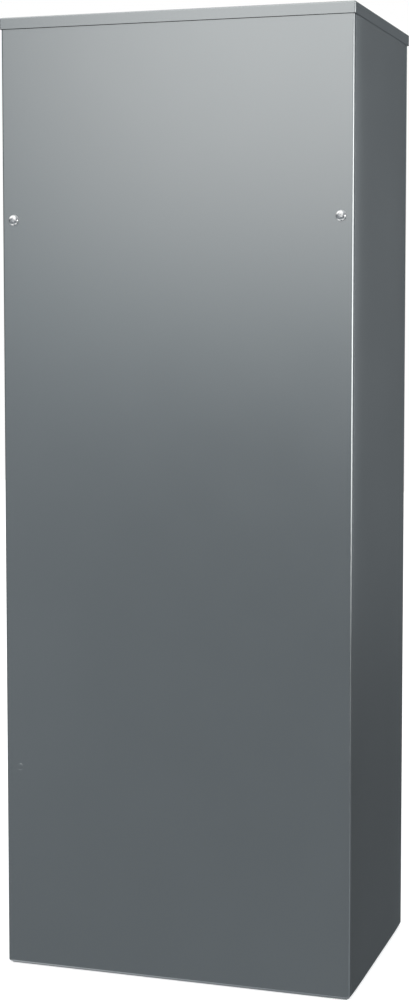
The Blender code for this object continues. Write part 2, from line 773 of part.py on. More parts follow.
def battery():
    case = block((0.030, -0.090, 0.4018), (0.211, -0.013, 0.5500))
    lid = block((0.036, -0.084, 0.5400), (0.205, -0.019, 0.5620))
    posts = [rod("Z", (x, -0.060), 0.008, 0.5550, 0.5700, SMALL) for x in (0.055, 0.186)]
    make("battery", case, black_plastic(), add=[lid, *posts], bevel=0.003)


def gas_train():
    centre = (GAS_X, GAS_HEIGHT)
    inlet = [
        (0, 0.0753), (0.0105, 0.0753), (0.0105, 0.1135), (0.0150, 0.1135),
        (0.0150, 0.1260), (0.0070, 0.1260), (0.0070, 0.1000), (0, 0.1000),
    ]
    make("gas_inlet_pipe", turned(inlet, "Y", centre, 16), brass())
    body = [
        (0, 0.0300), (0.0140, 0.0300), (0.0140, 0.0370), (0.0180, 0.0420), (0.0180, 0.0630),
        (0.0140, 0.0680), (0.0140, 0.0750), (0, 0.0750),
    ]
    stem = rod("Z", (GAS_X, 0.0525), 0.005, GAS_HEIGHT, GAS_HEIGHT + 0.027, SMALL)
    make("gas_valve", turned(body, "Y", centre, 16), brass(), add=[stem])
    pivot = pivot_at("gas_valve_pivot", (GAS_X, 0.0525, GAS_HEIGHT + 0.030))
    arm = rounded_rectangle((GAS_X - 0.009, 0.0005), (GAS_X + 0.009, 0.0625), 0.006)
    lever = prism(arm, "Z", GAS_HEIGHT + 0.0273, GAS_HEIGHT + 0.0300)
    make("gas_valve_lever", lever, yellow_plastic(), pivot=pivot)
    disc = [
        (0, -0.0660), (0.0200, -0.0660), (0.0200, -0.0560), (0.0480, -0.0500), (0.0480, -0.0440),
        (0.0550, -0.0440), (0.0550, -0.0360), (0.0480, -0.0360), (0.0480, -0.0220),
        (0.0120, -0.0150), (0.0120, 0.0297), (0, 0.0297),
    ]
    port = rod("X", (-0.030, GAS_HEIGHT), 0.007, GAS_X + 0.030, GAS_X + 0.062, SMALL)
    make("gas_regulator", turned(disc, "Y", centre), cast_aluminium(), add=[port])
    start = (GAS_X + 0.0623, -0.030, GAS_HEIGHT)
    end = (HEAD_X - 0.0298, MIXER_Y, 0.200)
    route = smooth_route(
        [
            start, (-0.080, -0.030, GAS_HEIGHT), (-0.068, -0.030, GAS_HEIGHT),
            (-0.030, -0.055, 0.488), (0.002, -0.092, 0.452), (0.012, -0.105, 0.405),
            (0.012, -0.105, 0.330), (0.012, -0.105, 0.250), (0.018, -0.101, 0.215),
            (0.034, MIXER_Y, 0.200), (0.041, MIXER_Y, 0.200), end,
        ],
        3,
    )
    pipe("gas_hose", route, HOSE_RADIUS, black_rubber())


def cable_gland():
    profile = [
        (0, 0.088), (0.0120, 0.088), (0.0120, 0.1018), (0.0165, 0.1018), (0.0165, 0.1080),
        (0.0140, 0.1100), (0.0120, 0.1240), (0.0085, 0.1260), (0.0085, 0.1150), (0, 0.1150),
    ]
    make("cable_gland", turned(profile, "Y", (-0.085, 0.480), 16), black_plastic())


# The upper bay: inverter, breaker, terminals and controls

def inverter():
    outline = comb(-0.140, 0.140, 0.050, 0.100, 0.135, 14, 0.3)
    make("inverter", prism(outline, "Z", 0.680, 1.000), cast_aluminium())


def electrical_plate():
    path = [
        (-FRAME_X, -0.010), (-FRAME_X, -0.030), (FRAME_X, -0.030), (FRAME_X, -0.010),
    ]
    outline = folded(path[::-1], [0.002, 0.002])
    make("electrical_plate", prism(outline, "Z", 0.660, 0.960), zinc_plate())


def main_breaker():
    x, z = -0.114, 0.845
    body = block((x - 0.036, -0.100, z - 0.045), (x + 0.036, -0.0303, z + 0.045))
    window = block((x - 0.0065, -0.11, z - 0.022), (x + 0.0065, -0.083, z + 0.022))
    make("main_breaker", body, grey_plastic(), cut=[window], bevel=0.002)
    pivot = pivot_at("breaker_pivot", (x, -0.093, z))
    tilt = math.radians(25)
    hub = rod("X", (-0.093, z), 0.007, x - 0.006, x + 0.006, 16)
    reach = 0.020
    across = (math.sin(tilt) * 0.003, math.cos(tilt) * 0.003)
    tip = (-0.093 - reach * math.cos(tilt), z + reach * math.sin(tilt))
    arm = [
        (-0.093 - across[0], z - across[1]),
        (tip[0] - across[0], tip[1] - across[1]),
        (tip[0] + across[0], tip[1] + across[1]),
        (-0.093 + across[0], z + across[1]),
    ]
    lever = prism(arm, "X", x - 0.005, x + 0.005)
    make("breaker_toggle", hub, black_plastic(), add=[lever], pivot=pivot)


def terminal_block():
    outline = comb(-0.040, 0.110, -0.0303, -0.060, -0.075, 7, 0.25)
    make("terminal_block", prism(outline, "Z", 0.815, 0.860), grey_plastic())


def controls():
    body = block((-0.170, PANEL_FACE, 0.985), (0.170, -0.060, 1.125))
    tabs = [block((x, -0.070, 1.115), (x + 0.030, -0.067, 1.1485)) for x in (-0.150, 0.120)]
    sockets = [
        block((-0.150, PANEL_FACE - 0.01, 1.028), (-0.050, PANEL_FACE + 0.002, 1.085)),
        rod("Y", (-0.005, PANEL_HEIGHT), 0.005, PANEL_FACE - 0.01, PANEL_FACE + 0.012, SMALL),
        rod("Y", (0.045, PANEL_HEIGHT), 0.0095, PANEL_FACE - 0.01, PANEL_FACE + 0.012),
        rod("Y", (0.110, PANEL_HEIGHT), 0.0105, PANEL_FACE - 0.01, PANEL_FACE + 0.018),
    ]
    make("control_panel", body, grey_plastic(), add=tabs, cut=sockets, bevel=0.003)
    seat = PANEL_FACE - GAP
    pivot = pivot_at("selector_pivot", (-0.005, seat, PANEL_HEIGHT))
    knob = [(0, seat + 0.009), (0.0045, seat + 0.009), (0.0045, seat), (0.015, seat), (0.013, seat - 0.008), (0, seat - 0.008)]
    grip = block((-0.0085, seat - 0.016, PANEL_HEIGHT - 0.012), (-0.0015, seat - 0.007, PANEL_HEIGHT + 0.012))
    make("selector_knob", turned(knob, "Y", (-0.005, PANEL_HEIGHT)), black_plastic(), add=[grip], pivot=pivot)
    pivot = pivot_at("reset_pivot", (0.045, seat, PANEL_HEIGHT))
    button = [(0, seat + 0.008), (0.009, seat + 0.008), (0.009, seat - 0.004), (0.008, seat - 0.005), (0, seat - 0.005)]
    make("reset_button", turned(button, "Y", (0.045, PANEL_HEIGHT)), yellow_plastic(), pivot=pivot)
    pivot = pivot_at("emergency_stop_pivot", (0.110, seat, PANEL_HEIGHT))
    stop = [
        (0, seat + 0.010), (0.010, seat + 0.010), (0.010, seat - 0.010), (0.019, seat - 0.011),
        (0.019, seat - 0.016), (0.015, seat - 0.020), (0, seat - 0.0215),
    ]
    make("emergency_stop", turned(stop, "Y", (0.110, PANEL_HEIGHT)), red_plastic(), pivot=pivot)


def clear_scene():
    for thing in list(bpy.data.objects):
        bpy.data.objects.remove(thing)


def main():
    clear_scene()
    base_pan()
    side_panel("side_panel_left", -1)
    side_panel("side_panel_right", 1)
    rear_panel()
    service_recess()
    front_top_rail()
    shelves()
    lid_group()
    front_cover()
    isolators_and_cradle()
    crankcase()
    cylinder_barrel()
    cylinder_head()
    alternator()
    blower_housing()
    exhaust()
    intake()
    oil_filler()
    battery()
    gas_train()
    cable_gland()
    inverter()
    electrical_plate()
    main_breaker()
    terminal_block()
    controls()


main()
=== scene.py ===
"""Looks of the home standby generator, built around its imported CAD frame.

Front is -Y, the viewer's right is +X, and +Z is up. Sizes are in metres. Each function makes one group of
pieces, and every piece rides on the CAD body that it belongs to. Most places come from the frame's boxes, and
the rest repeat the CAD's own dimensions.
"""

import json
import math

import bmesh
import bpy
from mathutils import Matrix, Vector


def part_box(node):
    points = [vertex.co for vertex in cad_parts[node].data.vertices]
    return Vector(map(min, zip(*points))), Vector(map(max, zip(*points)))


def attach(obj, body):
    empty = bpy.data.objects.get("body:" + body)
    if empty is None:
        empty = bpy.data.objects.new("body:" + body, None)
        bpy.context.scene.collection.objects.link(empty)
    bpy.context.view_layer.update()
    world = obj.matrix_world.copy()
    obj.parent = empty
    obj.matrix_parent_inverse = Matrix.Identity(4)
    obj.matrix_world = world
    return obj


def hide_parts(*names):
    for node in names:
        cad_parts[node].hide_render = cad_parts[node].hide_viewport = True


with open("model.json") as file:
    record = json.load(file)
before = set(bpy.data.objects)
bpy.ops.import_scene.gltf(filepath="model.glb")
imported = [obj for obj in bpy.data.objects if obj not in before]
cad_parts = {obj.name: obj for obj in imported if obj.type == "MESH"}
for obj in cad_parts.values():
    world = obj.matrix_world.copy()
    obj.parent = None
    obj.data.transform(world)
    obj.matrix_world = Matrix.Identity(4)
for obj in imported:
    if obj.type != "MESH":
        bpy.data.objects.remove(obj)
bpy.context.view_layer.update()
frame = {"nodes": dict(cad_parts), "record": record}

NODES = frame["nodes"]
SHEET = 0.0015
BEND = 0.002
GAP = 0.0003
ROUND = 64
BEND_STEPS = 10
SPAN_STEPS = 8
COVER_LOW, COVER_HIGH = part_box("front_cover")
LID_LOW, LID_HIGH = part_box("lid")
PANEL_LOW, PANEL_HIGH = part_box("rear_panel")
HALF_WIDTH = COVER_HIGH.x
FRONT = COVER_LOW.y
REAR = -FRONT
RETURN = 0.0085


# Shapes: each is a pair of lists, the points and the faces

ACROSS = {"X": (1, 2, 0), "Y": (0, 2, 1), "Z": (0, 1, 2)}


def place(axis, u, v, w):
    """The point at u and v across the axis and w along it."""
    point = [0.0, 0.0, 0.0]
    first, second, along = ACROSS[axis]
    point[first] = u
    point[second] = v
    point[along] = w
    return point


def loft(rings, closed=False):
    """A skin over rings of points, one after the other: capped at both ends, or closed into a loop."""
    count = len(rings[0])
    points = [p for ring in rings for p in ring]
    faces = []
    if not closed:
        last = len(points) - 1
        faces = [list(range(count)), list(range(last, last - count, -1))]
    for i in range(len(rings) if closed else len(rings) - 1):
        this = i * count
        following = (i + 1) % len(rings) * count
        for k in range(count):
            n = (k + 1) % count
            faces.append([this + k, this + n, following + n, following + k])
    return points, faces


def prism(outline, axis, start, end):
    """The outline, extruded along the axis."""
    return loft([[place(axis, u, v, w) for u, v in outline] for w in (start, end)])


def block(low, high):
    outline = [(low[0], low[1]), (high[0], low[1]), (high[0], high[1]), (low[0], high[1])]
    return prism(outline, "Z", low[2], high[2])


def circle(u, v, radius, steps=ROUND):
    turn = 2 * math.pi / steps
    return [(u + radius * math.cos(i * turn), v + radius * math.sin(i * turn)) for i in range(steps)]


def rod(axis, centre, radius, start, end, steps=ROUND):
    return prism(circle(centre[0], centre[1], radius, steps), axis, start, end)


def turned(profile, axis, centre, steps=ROUND):
    """The closed profile of (radius, height) points, turned about an axis through the centre."""
    points = []
    rings = []
    for radius, height in profile:
        start = len(points)
        if radius == 0:
            points.append(place(axis, centre[0], centre[1], height))
            rings.append([start] * steps)
        else:
            points += [place(axis, u, v, height) for u, v in circle(centre[0], centre[1], radius, steps)]
            rings.append(list(range(start, start + steps)))
    faces = []
    for i, ring in enumerate(rings):
        following = rings[(i + 1) % len(rings)]
        for k in range(steps):
            n = (k + 1) % steps
            face = list(dict.fromkeys([ring[k], ring[n], following[n], following[k]]))
            if len(face) > 2:
                faces.append(face)
    return points, faces


def rounded_rectangle(low, high, radius, steps=6):
    """The outline of a rectangle with round corners."""
    middles = [
        (high[0] - radius, low[1] + radius, -90),
        (high[0] - radius, high[1] - radius, 0),
        (low[0] + radius, high[1] - radius, 90),
        (low[0] + radius, low[1] + radius, 180),
    ]
    outline = []
    for u, v, start in middles:
        for i in range(steps + 1):
            angle = math.radians(start + 90 * i / steps)
            outline.append((u + radius * math.cos(angle), v + radius * math.sin(angle)))
    return outline


def plan_ring(low, high, inset, radius, z):
    """The box in plan at height z, drawn in by the inset, with round corners."""
    outline = rounded_rectangle((low.x + inset, low.y + inset), (high.x - inset, high.y - inset), radius)
    return [(x, y, z) for x, y in outline]


def comb(start, end, base, root, tip, count, share, taper):
    """The outline of a bar from start to end, with fins from root to tip, narrower by taper on each side."""
    pitch = (end - start) / (count - 1 + share)
    outline = [(end, base), (start, base)]
    for i in range(count):
        left = start + i * pitch
        right = left + share * pitch
        outline += [(left, root), (left + taper, tip), (right - taper, tip), (right, root)]
    return outline


def folded(path, radii):
    """The outline of sheet metal bent along a path, with the sheet to the right of the path."""
    near = []
    far = []
    for i, (u, v) in enumerate(path):
        point = Vector((u, v))
        before = (point - Vector(path[i - 1])).normalized() if i > 0 else None
        after = (Vector(path[i + 1]) - point).normalized() if i < len(path) - 1 else None
        if before is None or after is None:
            heading = after or before
            near.append(point)
            far.append(point + SHEET * Vector((heading.y, -heading.x)))
            continue
        turn = math.atan2(before.x * after.y - before.y * after.x, before.dot(after))
        side = 1 if turn > 0 else -1
        right = Vector((before.y, -before.x))
        radius = radii[i - 1]
        if radius == 0:
            bisector = (right + Vector((after.y, -after.x))).normalized()
            near.append(point)
            far.append(point + bisector * SHEET / math.cos(turn / 2))
            continue
        centre = point - before * radius * math.tan(abs(turn) / 2) - side * right * radius
        for k in range(BEND_STEPS + 1):
            arm = side * (Matrix.Rotation(turn * k / BEND_STEPS, 2) @ right)
            near.append(centre + arm * radius)
            far.append(centre + arm * (radius + side * SHEET))
    return [tuple(p) for p in near] + [tuple(p) for p in reversed(far)]


def smooth_route(points):
    """Points on the smooth curve through the given points."""
    ends = [2 * Vector(points[0]) - Vector(points[1])]
    ends += [Vector(p) for p in points]
    ends += [2 * Vector(points[-1]) - Vector(points[-2])]
    route = []
    for a, b, c, d in zip(ends, ends[1:], ends[2:], ends[3:]):
        for i in range(SPAN_STEPS):
            t = i / SPAN_STEPS
            route.append(
                0.5 * (2 * b + (c - a) * t + (2 * a - 5 * b + 4 * c - d) * t ** 2
                       + (3 * b - a - 3 * c + d) * t ** 3)
            )
    route.append(ends[-2])
    return route


# Objects

def mesh_of(shapes, smooth=35):
    """One mesh from the shapes, with its normals facing out and its edges sharp above the smooth angle."""
    mesh = bpy.data.meshes.new("mesh")
    bm = bmesh.new()
    for points, faces in shapes:
        made = [bm.verts.new(p) for p in points]
        for face in faces:
            bm.faces.new([made[i] for i in face])
    bmesh.ops.recalc_face_normals(bm, faces=bm.faces)
    bm.to_mesh(mesh)
    bm.free()
    mesh.shade_smooth()
    mesh.set_sharp_from_angle(angle=math.radians(smooth))
    return mesh


def carved(shapes, cuts, smooth=35):
    """A mesh from the shapes, with each list of shapes in cuts taken away from it.

    The Boolean can lose shapes that overlap one another, so a piece that is cut is best one shape.
    """
    thing = bpy.data.objects.new("carved", mesh_of(shapes))
    bpy.context.scene.collection.objects.link(thing)
    cutters = []
    for shape in cuts:
        cutter = bpy.data.objects.new("cutter", mesh_of(shape))
        bpy.context.scene.collection.objects.link(cutter)
        cutters.append(cutter)
        cut = thing.modifiers.new("cut", "BOOLEAN")
        cut.operation = "DIFFERENCE"
        cut.solver = "EXACT"
        cut.object = cutter
    mesh = bpy.data.meshes.new_from_object(thing.evaluated_get(bpy.context.evaluated_depsgraph_get()))
    for made in [thing, *cutters]:
        bpy.data.objects.remove(made)
    mesh.shade_smooth()
    mesh.set_sharp_from_angle(angle=math.radians(smooth))
    return mesh


def gathered(mesh, places):
    """Copies of the mesh, each moved by one of the matrices, as one mesh."""
    bm = bmesh.new()
    for matrix in places:
        start = len(bm.verts)
        bm.from_mesh(mesh)
        bm.verts.ensure_lookup_table()
        bmesh.ops.transform(bm, matrix=matrix, verts=bm.verts[start:])
    made = bpy.data.meshes.new("gathered")
    bm.to_mesh(made)
    bm.free()
    return made


def finished(name, mesh, finish, body, replaces=(), bevel=0.0, segments=2):
    """The mesh as a piece that rides on the body and may stand for CAD nodes."""
    thing = bpy.data.objects.new(name, mesh)
    bpy.context.scene.collection.objects.link(thing)
    mesh.materials.clear()
    mesh.materials.append(finish)
    dress(thing, bevel, segments)
    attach(thing, body)
    if replaces:
        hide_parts(*replaces)
    return thing


def dress(thing, bevel, segments=2):
    """Eases the edges by the bevel, and weights the normals so that flat faces stay flat."""
    if bevel:
        rounding = thing.modifiers.new("bevel", "BEVEL")
        rounding.width = bevel
        rounding.segments = segments
        rounding.limit_method = "ANGLE"
    normals = thing.modifiers.new("normals", "WEIGHTED_NORMAL")
    normals.mode = "FACE_AREA"
    normals.keep_sharp = True


def piece(name, shapes, finish, body, replaces=(), bevel=0.0, segments=2, cuts=(), smooth=35):
    """One named piece from the shapes, less the cuts, in its finish and on its body."""
    mesh = carved(shapes, cuts, smooth) if cuts else mesh_of(shapes, smooth)
    return finished(name, mesh, finish, body, replaces, bevel, segments)


def cable(name, points, radius, finish, body="cabinet", resolution=4):
    """A round cable, hose or pipe along the smooth curve through the points."""
    curve = bpy.data.curves.new(name, "CURVE")
    curve.dimensions = "3D"
    curve.bevel_depth = radius
    curve.bevel_resolution = resolution
    curve.use_fill_caps = True
    spline = curve.splines.new("POLY")
    route = smooth_route(points)
    spline.points.add(len(route) - 1)
    for point, at in zip(spline.points, route):
        point.co = (*at, 1.0)
    spline.use_smooth = True
    curve.materials.append(finish)
    thing = bpy.data.objects.new(name, curve)
    bpy.context.scene.collection.objects.link(thing)
    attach(thing, body)
    return thing


# Materials

FINE_SHARE = 0.35


def node(tree, kind, **values):
    """A new shader node, with its inputs or its own settings set by name."""
    made = tree.nodes.new(kind)
    for key, value in values.items():
        if key in made.inputs:
            made.inputs[key].default_value = value
        else:
            setattr(made, key, value)
    return made


def surface(name, colour, roughness, metallic=0.0, **settings):
    """A Principled material whose colour, roughness and relief vary over the surface.

    grain: scale of the relief, in features per metre; relief: its depth in metres; strength: of the relief;
    stretch: how much the grain is drawn out along X, Y and Z; mottle: share by which the colour varies;
    blotch: scale of that; spread: how far the roughness varies; sockets: other inputs of the shader.
    """
    made = bpy.data.materials.new(name)
    made.use_nodes = True
    tree = made.node_tree
    shader = tree.nodes["Principled BSDF"]
    shader.inputs["Metallic"].default_value = metallic
    for key, value in settings.get("sockets", {}).items():
        shader.inputs[key].default_value = value
    place_in = node(tree, "ShaderNodeTexCoord")
    mapping = node(tree, "ShaderNodeMapping")
    mapping.inputs["Scale"].default_value = settings.get("stretch", (1, 1, 1))
    tree.links.new(place_in.outputs["Object"], mapping.inputs["Vector"])
    fine = node(tree, "ShaderNodeTexNoise", Scale=settings.get("grain", 900), Detail=3.0)
    tree.links.new(mapping.outputs["Vector"], fine.inputs["Vector"])
    broad = node(tree, "ShaderNodeTexNoise", Scale=settings.get("blotch", 9), Detail=4.0)
    tree.links.new(place_in.outputs["Object"], broad.inputs["Vector"])
    blend = node(tree, "ShaderNodeMix", data_type="RGBA", blend_type="MIX")
    mottle = settings.get("mottle", 0.06)
    dark = [c * (1 - mottle) for c in colour]
    light = [min(1.0, c * (1 + mottle)) for c in colour]
    blend.inputs[6].default_value = (*dark, 1)
    blend.inputs[7].default_value = (*light, 1)
    both = node(tree, "ShaderNodeMath", operation="MULTIPLY_ADD")
    both.inputs[1].default_value = FINE_SHARE
    tree.links.new(fine.outputs["Fac"], both.inputs[0])
    shift = node(tree, "ShaderNodeMath", operation="MULTIPLY")
    shift.inputs[1].default_value = 1 - FINE_SHARE
    tree.links.new(broad.outputs["Fac"], shift.inputs[0])
    tree.links.new(shift.outputs[0], both.inputs[2])
    tree.links.new(both.outputs[0], blend.inputs[0])
    tree.links.new(blend.outputs[2], shader.inputs["Base Color"])
    rough = node(tree, "ShaderNodeMapRange")
    spread = settings.get("spread", 0.05)
    rough.inputs["To Min"].default_value = roughness - spread
    rough.inputs["To Max"].default_value = roughness + spread
    tree.links.new(both.outputs[0], rough.inputs["Value"])
    tree.links.new(rough.outputs["Result"], shader.inputs["Roughness"])
    bump = node(tree, "ShaderNodeBump", Strength=settings.get("strength", 0.5))
    bump.inputs["Distance"].default_value = settings.get("relief", 0.00003)
    tree.links.new(fine.outputs["Fac"], bump.inputs["Height"])
    tree.links.new(bump.outputs["Normal"], shader.inputs["Normal"])
    return made


PAINT = surface(
    "satin_grey_paint", (0.50, 0.53, 0.54), 0.19, 0.85, grain=1400, relief=0.00001, mottle=0.02, spread=0.03,
)
ZINC = surface(
    "zinc_plating", (0.66, 0.67, 0.68), 0.34, 0.95, grain=300, relief=0.00002, mottle=0.10, blotch=60,
)
BRIGHT = surface("bright_zinc", (0.96, 0.965, 0.97), 0.22, 0.92, grain=1500, relief=0.00001, mottle=0.03)
CAST = surface(
    "cast_alloy", (0.50, 0.51, 0.52), 0.52, 0.85, grain=1200, relief=0.0002, mottle=0.12, blotch=40,
)
EXHAUST = surface(
    "aluminised_exhaust", (0.52, 0.50, 0.46), 0.42, 0.9, grain=500, relief=0.00003, mottle=0.18, blotch=25,
)
BRASS = surface(
    "drawn_brass", (0.72, 0.53, 0.25), 0.28, 1.0, grain=800, relief=0.00002, mottle=0.10, blotch=80,
)
RUBBER = surface(
    "moulded_rubber", (0.028, 0.028, 0.030), 0.72, grain=1500, relief=0.00008, mottle=0.25, blotch=50,
)
FOAM = surface(
    "open_foam", (0.075, 0.075, 0.08), 0.95, grain=900, relief=0.0006, mottle=0.4, blotch=30, strength=0.9,
)
BLACK = surface("moulded_black", (0.03, 0.031, 0.034), 0.42, grain=2200, relief=0.00006, mottle=0.12)
GREY = surface("moulded_grey", (0.33, 0.34, 0.36), 0.45, grain=2200, relief=0.00006, mottle=0.05)
RED = surface("moulded_red", (0.60, 0.02, 0.015), 0.30, grain=2200, relief=0.00003, mottle=0.05)
YELLOW = surface("moulded_yellow", (0.82, 0.52, 0.03), 0.35, grain=2200, relief=0.00003, mottle=0.05)
CERAMIC = surface("glazed_ceramic", (0.84, 0.83, 0.79), 0.18, grain=600, relief=0.00002, mottle=0.03)
COPPER = surface(
    "enamelled_copper", (0.62, 0.26, 0.10), 0.32, 0.85, grain=200, stretch=(1, 1, 8), relief=0.0004,
    mottle=0.2,
)
GLASS = surface(
    "display_glass", (0.012, 0.016, 0.02), 0.06, grain=300, relief=0.000002, mottle=0.1, spread=0.02,
)
LIT = surface(
    "lit_segment", (0.75, 0.86, 0.80), 0.4, grain=600, relief=0.000005, mottle=0.04,
    sockets={"Emission Color": (0.55, 0.9, 0.75, 1), "Emission Strength": 0.35},
)
GREEN = surface(
    "green_lamp", (0.05, 0.5, 0.12), 0.15, grain=600, relief=0.000005, mottle=0.05,
    sockets={"Emission Color": (0.05, 0.8, 0.2, 1), "Emission Strength": 0.3},
)
WHITE = surface("white_mark", (0.80, 0.80, 0.78), 0.5, grain=900, relief=0.00001, mottle=0.03)
EARTH = surface("green_yellow_cable", (0.35, 0.45, 0.06), 0.45, grain=900, relief=0.00002, mottle=0.2)
BLUE = surface("blue_cable", (0.03, 0.10, 0.35), 0.45, grain=900, relief=0.00002, mottle=0.1)

BY_SLOT = {
    "cabinet_paint": PAINT,
    "zinc_plate": ZINC,
    "bright_steel": BRIGHT,
    "cast_aluminium": CAST,
    "aluminised_steel": EXHAUST,
    "brass": BRASS,
    "black_rubber": RUBBER,
    "grey_foam": FOAM,
    "black_plastic": BLACK,
    "grey_plastic": GREY,
    "red_plastic": RED,
    "yellow_plastic": YELLOW,
    "white_ceramic": CERAMIC,
    "copper_winding": COPPER,
}
SOFTENED = {"zinc_plate": 0.0003, "cast_aluminium": 0.0012, "cabinet_paint": 0.0002}


def finish_cad_nodes():
    """Every CAD node takes the material of its slot in the record, and its edges are eased."""
    for part in frame["record"]["subparts"]:
        thing = NODES[part["node"]]
        kind = part["material_slot"]
        thing.data.materials.clear()
        thing.data.materials.append(BY_SLOT[kind])
        weld = thing.modifiers.new("weld", "WELD")
        weld.merge_threshold = 0.00001
        flat = thing.modifiers.new("flat", "DECIMATE")
        flat.decimate_type = "DISSOLVE"
        flat.angle_limit = math.radians(0.5)
        dress(thing, SOFTENED.get(kind, 0.0004))


# The outer sheet metal

HEM = 0.0028
SIDE_HEM = 0.0022
HEM_STEPS = 8
HEM_END = 70
SIDE_CROWN = 0.0009
CROWN_STEPS = 24
WITNESS_RADIUS = 0.0042
WITNESS_RISE = 0.00025
SCREW_AT = [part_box(f"cover_screw_{side}") for side in ("left", "right")]
STUD_AT = [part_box(f"cover_grommet_{side}") for side in ("left", "right")]


def centre_of(box):
    return (box[0] + box[1]) / 2


def hem_levels(base, hem):
    """The heights and insets of a rounded lower edge, from the bottom up."""
    slopes = [math.radians(HEM_END * (1 - i / HEM_STEPS)) for i in range(HEM_STEPS + 1)]
    return [(base + hem * (1 - math.sin(slope)), hem * (1 - math.cos(slope))) for slope in slopes]


def cover_outline(inset):
    """The C of the front cover in plan, drawn in from its faces by the inset."""
    x, front, back = HALF_WIDTH - inset, FRONT + inset, FRONT + RETURN
    return folded([(x, back), (x, front), (-x, front), (-x, back)], [BEND, BEND])


def front_cover():
    """The one-sheet cover, with round side bends and a rounded lower edge."""
    low = COVER_LOW.z - HEM * (1 - math.sin(math.radians(HEM_END)))
    levels = [*hem_levels(low, HEM), (COVER_HIGH.z + 0.0006, 0.0)]
    rings = [[(x, y, z) for x, y in cover_outline(inset)] for z, inset in levels]
    piece("cover_skin", [loft(rings)], PAINT, "front_cover", ["front_cover"], bevel=0.0003, smooth=16)
    for box, label in zip(STUD_AT, ("left", "right")):
        at = centre_of(box)
        stud = [
            (0, FRONT + SHEET), (0.0055, FRONT + SHEET), (0.0048, FRONT + 0.0022), (0.0035, FRONT + 0.0030),
            (0.0035, -0.1372), (0.0026, -0.136), (0, -0.136),
        ]
        piece(f"cover_stud_{label}", [turned(stud, "Y", (at.x, at.z))], ZINC, "front_cover")
    at = centre_of(STUD_AT[0])
    witness = [(0, FRONT - WITNESS_RISE)]
    for i in range(1, 7):
        slope = math.radians(15 * i)
        witness.append((WITNESS_RADIUS * math.sin(slope), FRONT - WITNESS_RISE * math.cos(slope)))
    witness += [(WITNESS_RADIUS, FRONT + 0.0005), (0, FRONT + 0.0005)]
    piece("weld_witness", [turned(witness, "Y", (at.x, at.z))], PAINT, "front_cover", smooth=60)


def side_outline(side, inset):
    """A folded side in plan: the rear flange, a very slight crown, and the joggle behind the cover."""
    joggle = HALF_WIDTH - SHEET - GAP
    inner = FRONT + SHEET + 0.0005
    start = FRONT + RETURN + GAP
    face = HALF_WIDTH - inset
    rear = REAR - inset
    path = [(HALF_WIDTH - 0.0195, rear), (face, rear)]
    radii = [BEND]
    for i in range(CROWN_STEPS + 1):
        share = 1 - 2 * i / CROWN_STEPS
        y = (start + REAR - 2 * BEND) / 2 + share * (REAR - 2 * BEND - start) / 2
        path.append((face + SIDE_CROWN * (1 - share ** 6), y))
        radii.append(0)
    path += [(joggle - inset, start), (joggle - inset, inner), (joggle - 0.0315, inner)]
    return [(side * u, v) for u, v in folded(path, radii + [0, BEND])]


def side_skins():
    """The folded sides, with a rounded lower edge and holes for the cover's screws and studs."""
    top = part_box("side_panel_left")[1].z
    inner = FRONT + SHEET + 0.0005
    holes = []
    for boxes, radius in ((SCREW_AT, 0.0045), (STUD_AT, 0.007)):
        for box in boxes:
            at = centre_of(box)
            holes.append(rod("Y", (at.x, at.z), radius, FRONT, inner + 0.004))
    reach = HALF_WIDTH - SHEET - GAP - 0.0002
    flange_from, flange_front = 0.2035, -0.108
    low = COVER_LOW.z - SIDE_HEM * (1 - math.sin(math.radians(HEM_END)))
    for name, side in (("left", -1), ("right", 1)):
        levels = [*hem_levels(low, SIDE_HEM), (top - GAP, 0.0)]
        skin = loft([[(x, y, z) for x, y in side_outline(side, inset)] for z, inset in levels])
        flange = block(
            (min(side * flange_from, side * reach), flange_front, top - SHEET),
            (max(side * flange_from, side * reach), PANEL_LOW.y - GAP, top),
        )
        mine = [hole for hole in holes if hole[0][0][0] * side > 0]
        piece(
            f"side_skin_{name}", [skin, flange], PAINT, "cabinet", [f"side_panel_{name}"], cuts=[mine],
            bevel=0.0002, smooth=16,
        )


def pan(low, high, open_side, radius):
    """A shallow sheet pan: a box open on one side, with its other edges rounded, made as a skin."""
    bm = bmesh.new()
    bmesh.ops.create_cube(bm, size=1.0)
    size = Vector(high) - Vector(low)
    middle = (Vector(high) + Vector(low)) / 2
    for vertex in bm.verts:
        vertex.co = Vector([vertex.co[k] * size[k] + middle[k] for k in range(3)])
    axis, sign = open_side
    open_faces = [f for f in bm.faces if f.normal[axis] * sign > 0.5]
    bmesh.ops.delete(bm, geom=open_faces, context="FACES_ONLY")
    edges = [e for e in bm.edges if not e.is_boundary]
    bmesh.ops.bevel(
        bm, geom=edges, offset=radius, offset_type="OFFSET", segments=8, profile=0.5, affect="EDGES",
        clamp_overlap=True,
    )
    mesh = bpy.data.meshes.new("pan")
    bmesh.ops.recalc_face_normals(bm, faces=bm.faces)
    outward = [f for f in bm.faces if abs(f.normal[axis]) > 0.99]
    if outward and outward[0].normal[axis] * sign > 0:
        bmesh.ops.reverse_faces(bm, faces=bm.faces)
    bm.to_mesh(mesh)
    bm.free()
    mesh.shade_smooth()
    return mesh


def thickened(mesh, sheet):
    """The mesh as a shell of this thickness, grown inwards."""
    thing = bpy.data.objects.new("shell", mesh)
    bpy.context.scene.collection.objects.link(thing)
    thickness = thing.modifiers.new("sheet", "SOLIDIFY")
    thickness.thickness = sheet
    thickness.offset = -1.0
    thickness.use_even_offset = True
    made = bpy.data.meshes.new_from_object(thing.evaluated_get(bpy.context.evaluated_depsgraph_get()))
    bpy.data.objects.remove(thing)
    made.shade_smooth()
    made.set_sharp_from_angle(angle=math.radians(35))
    return made


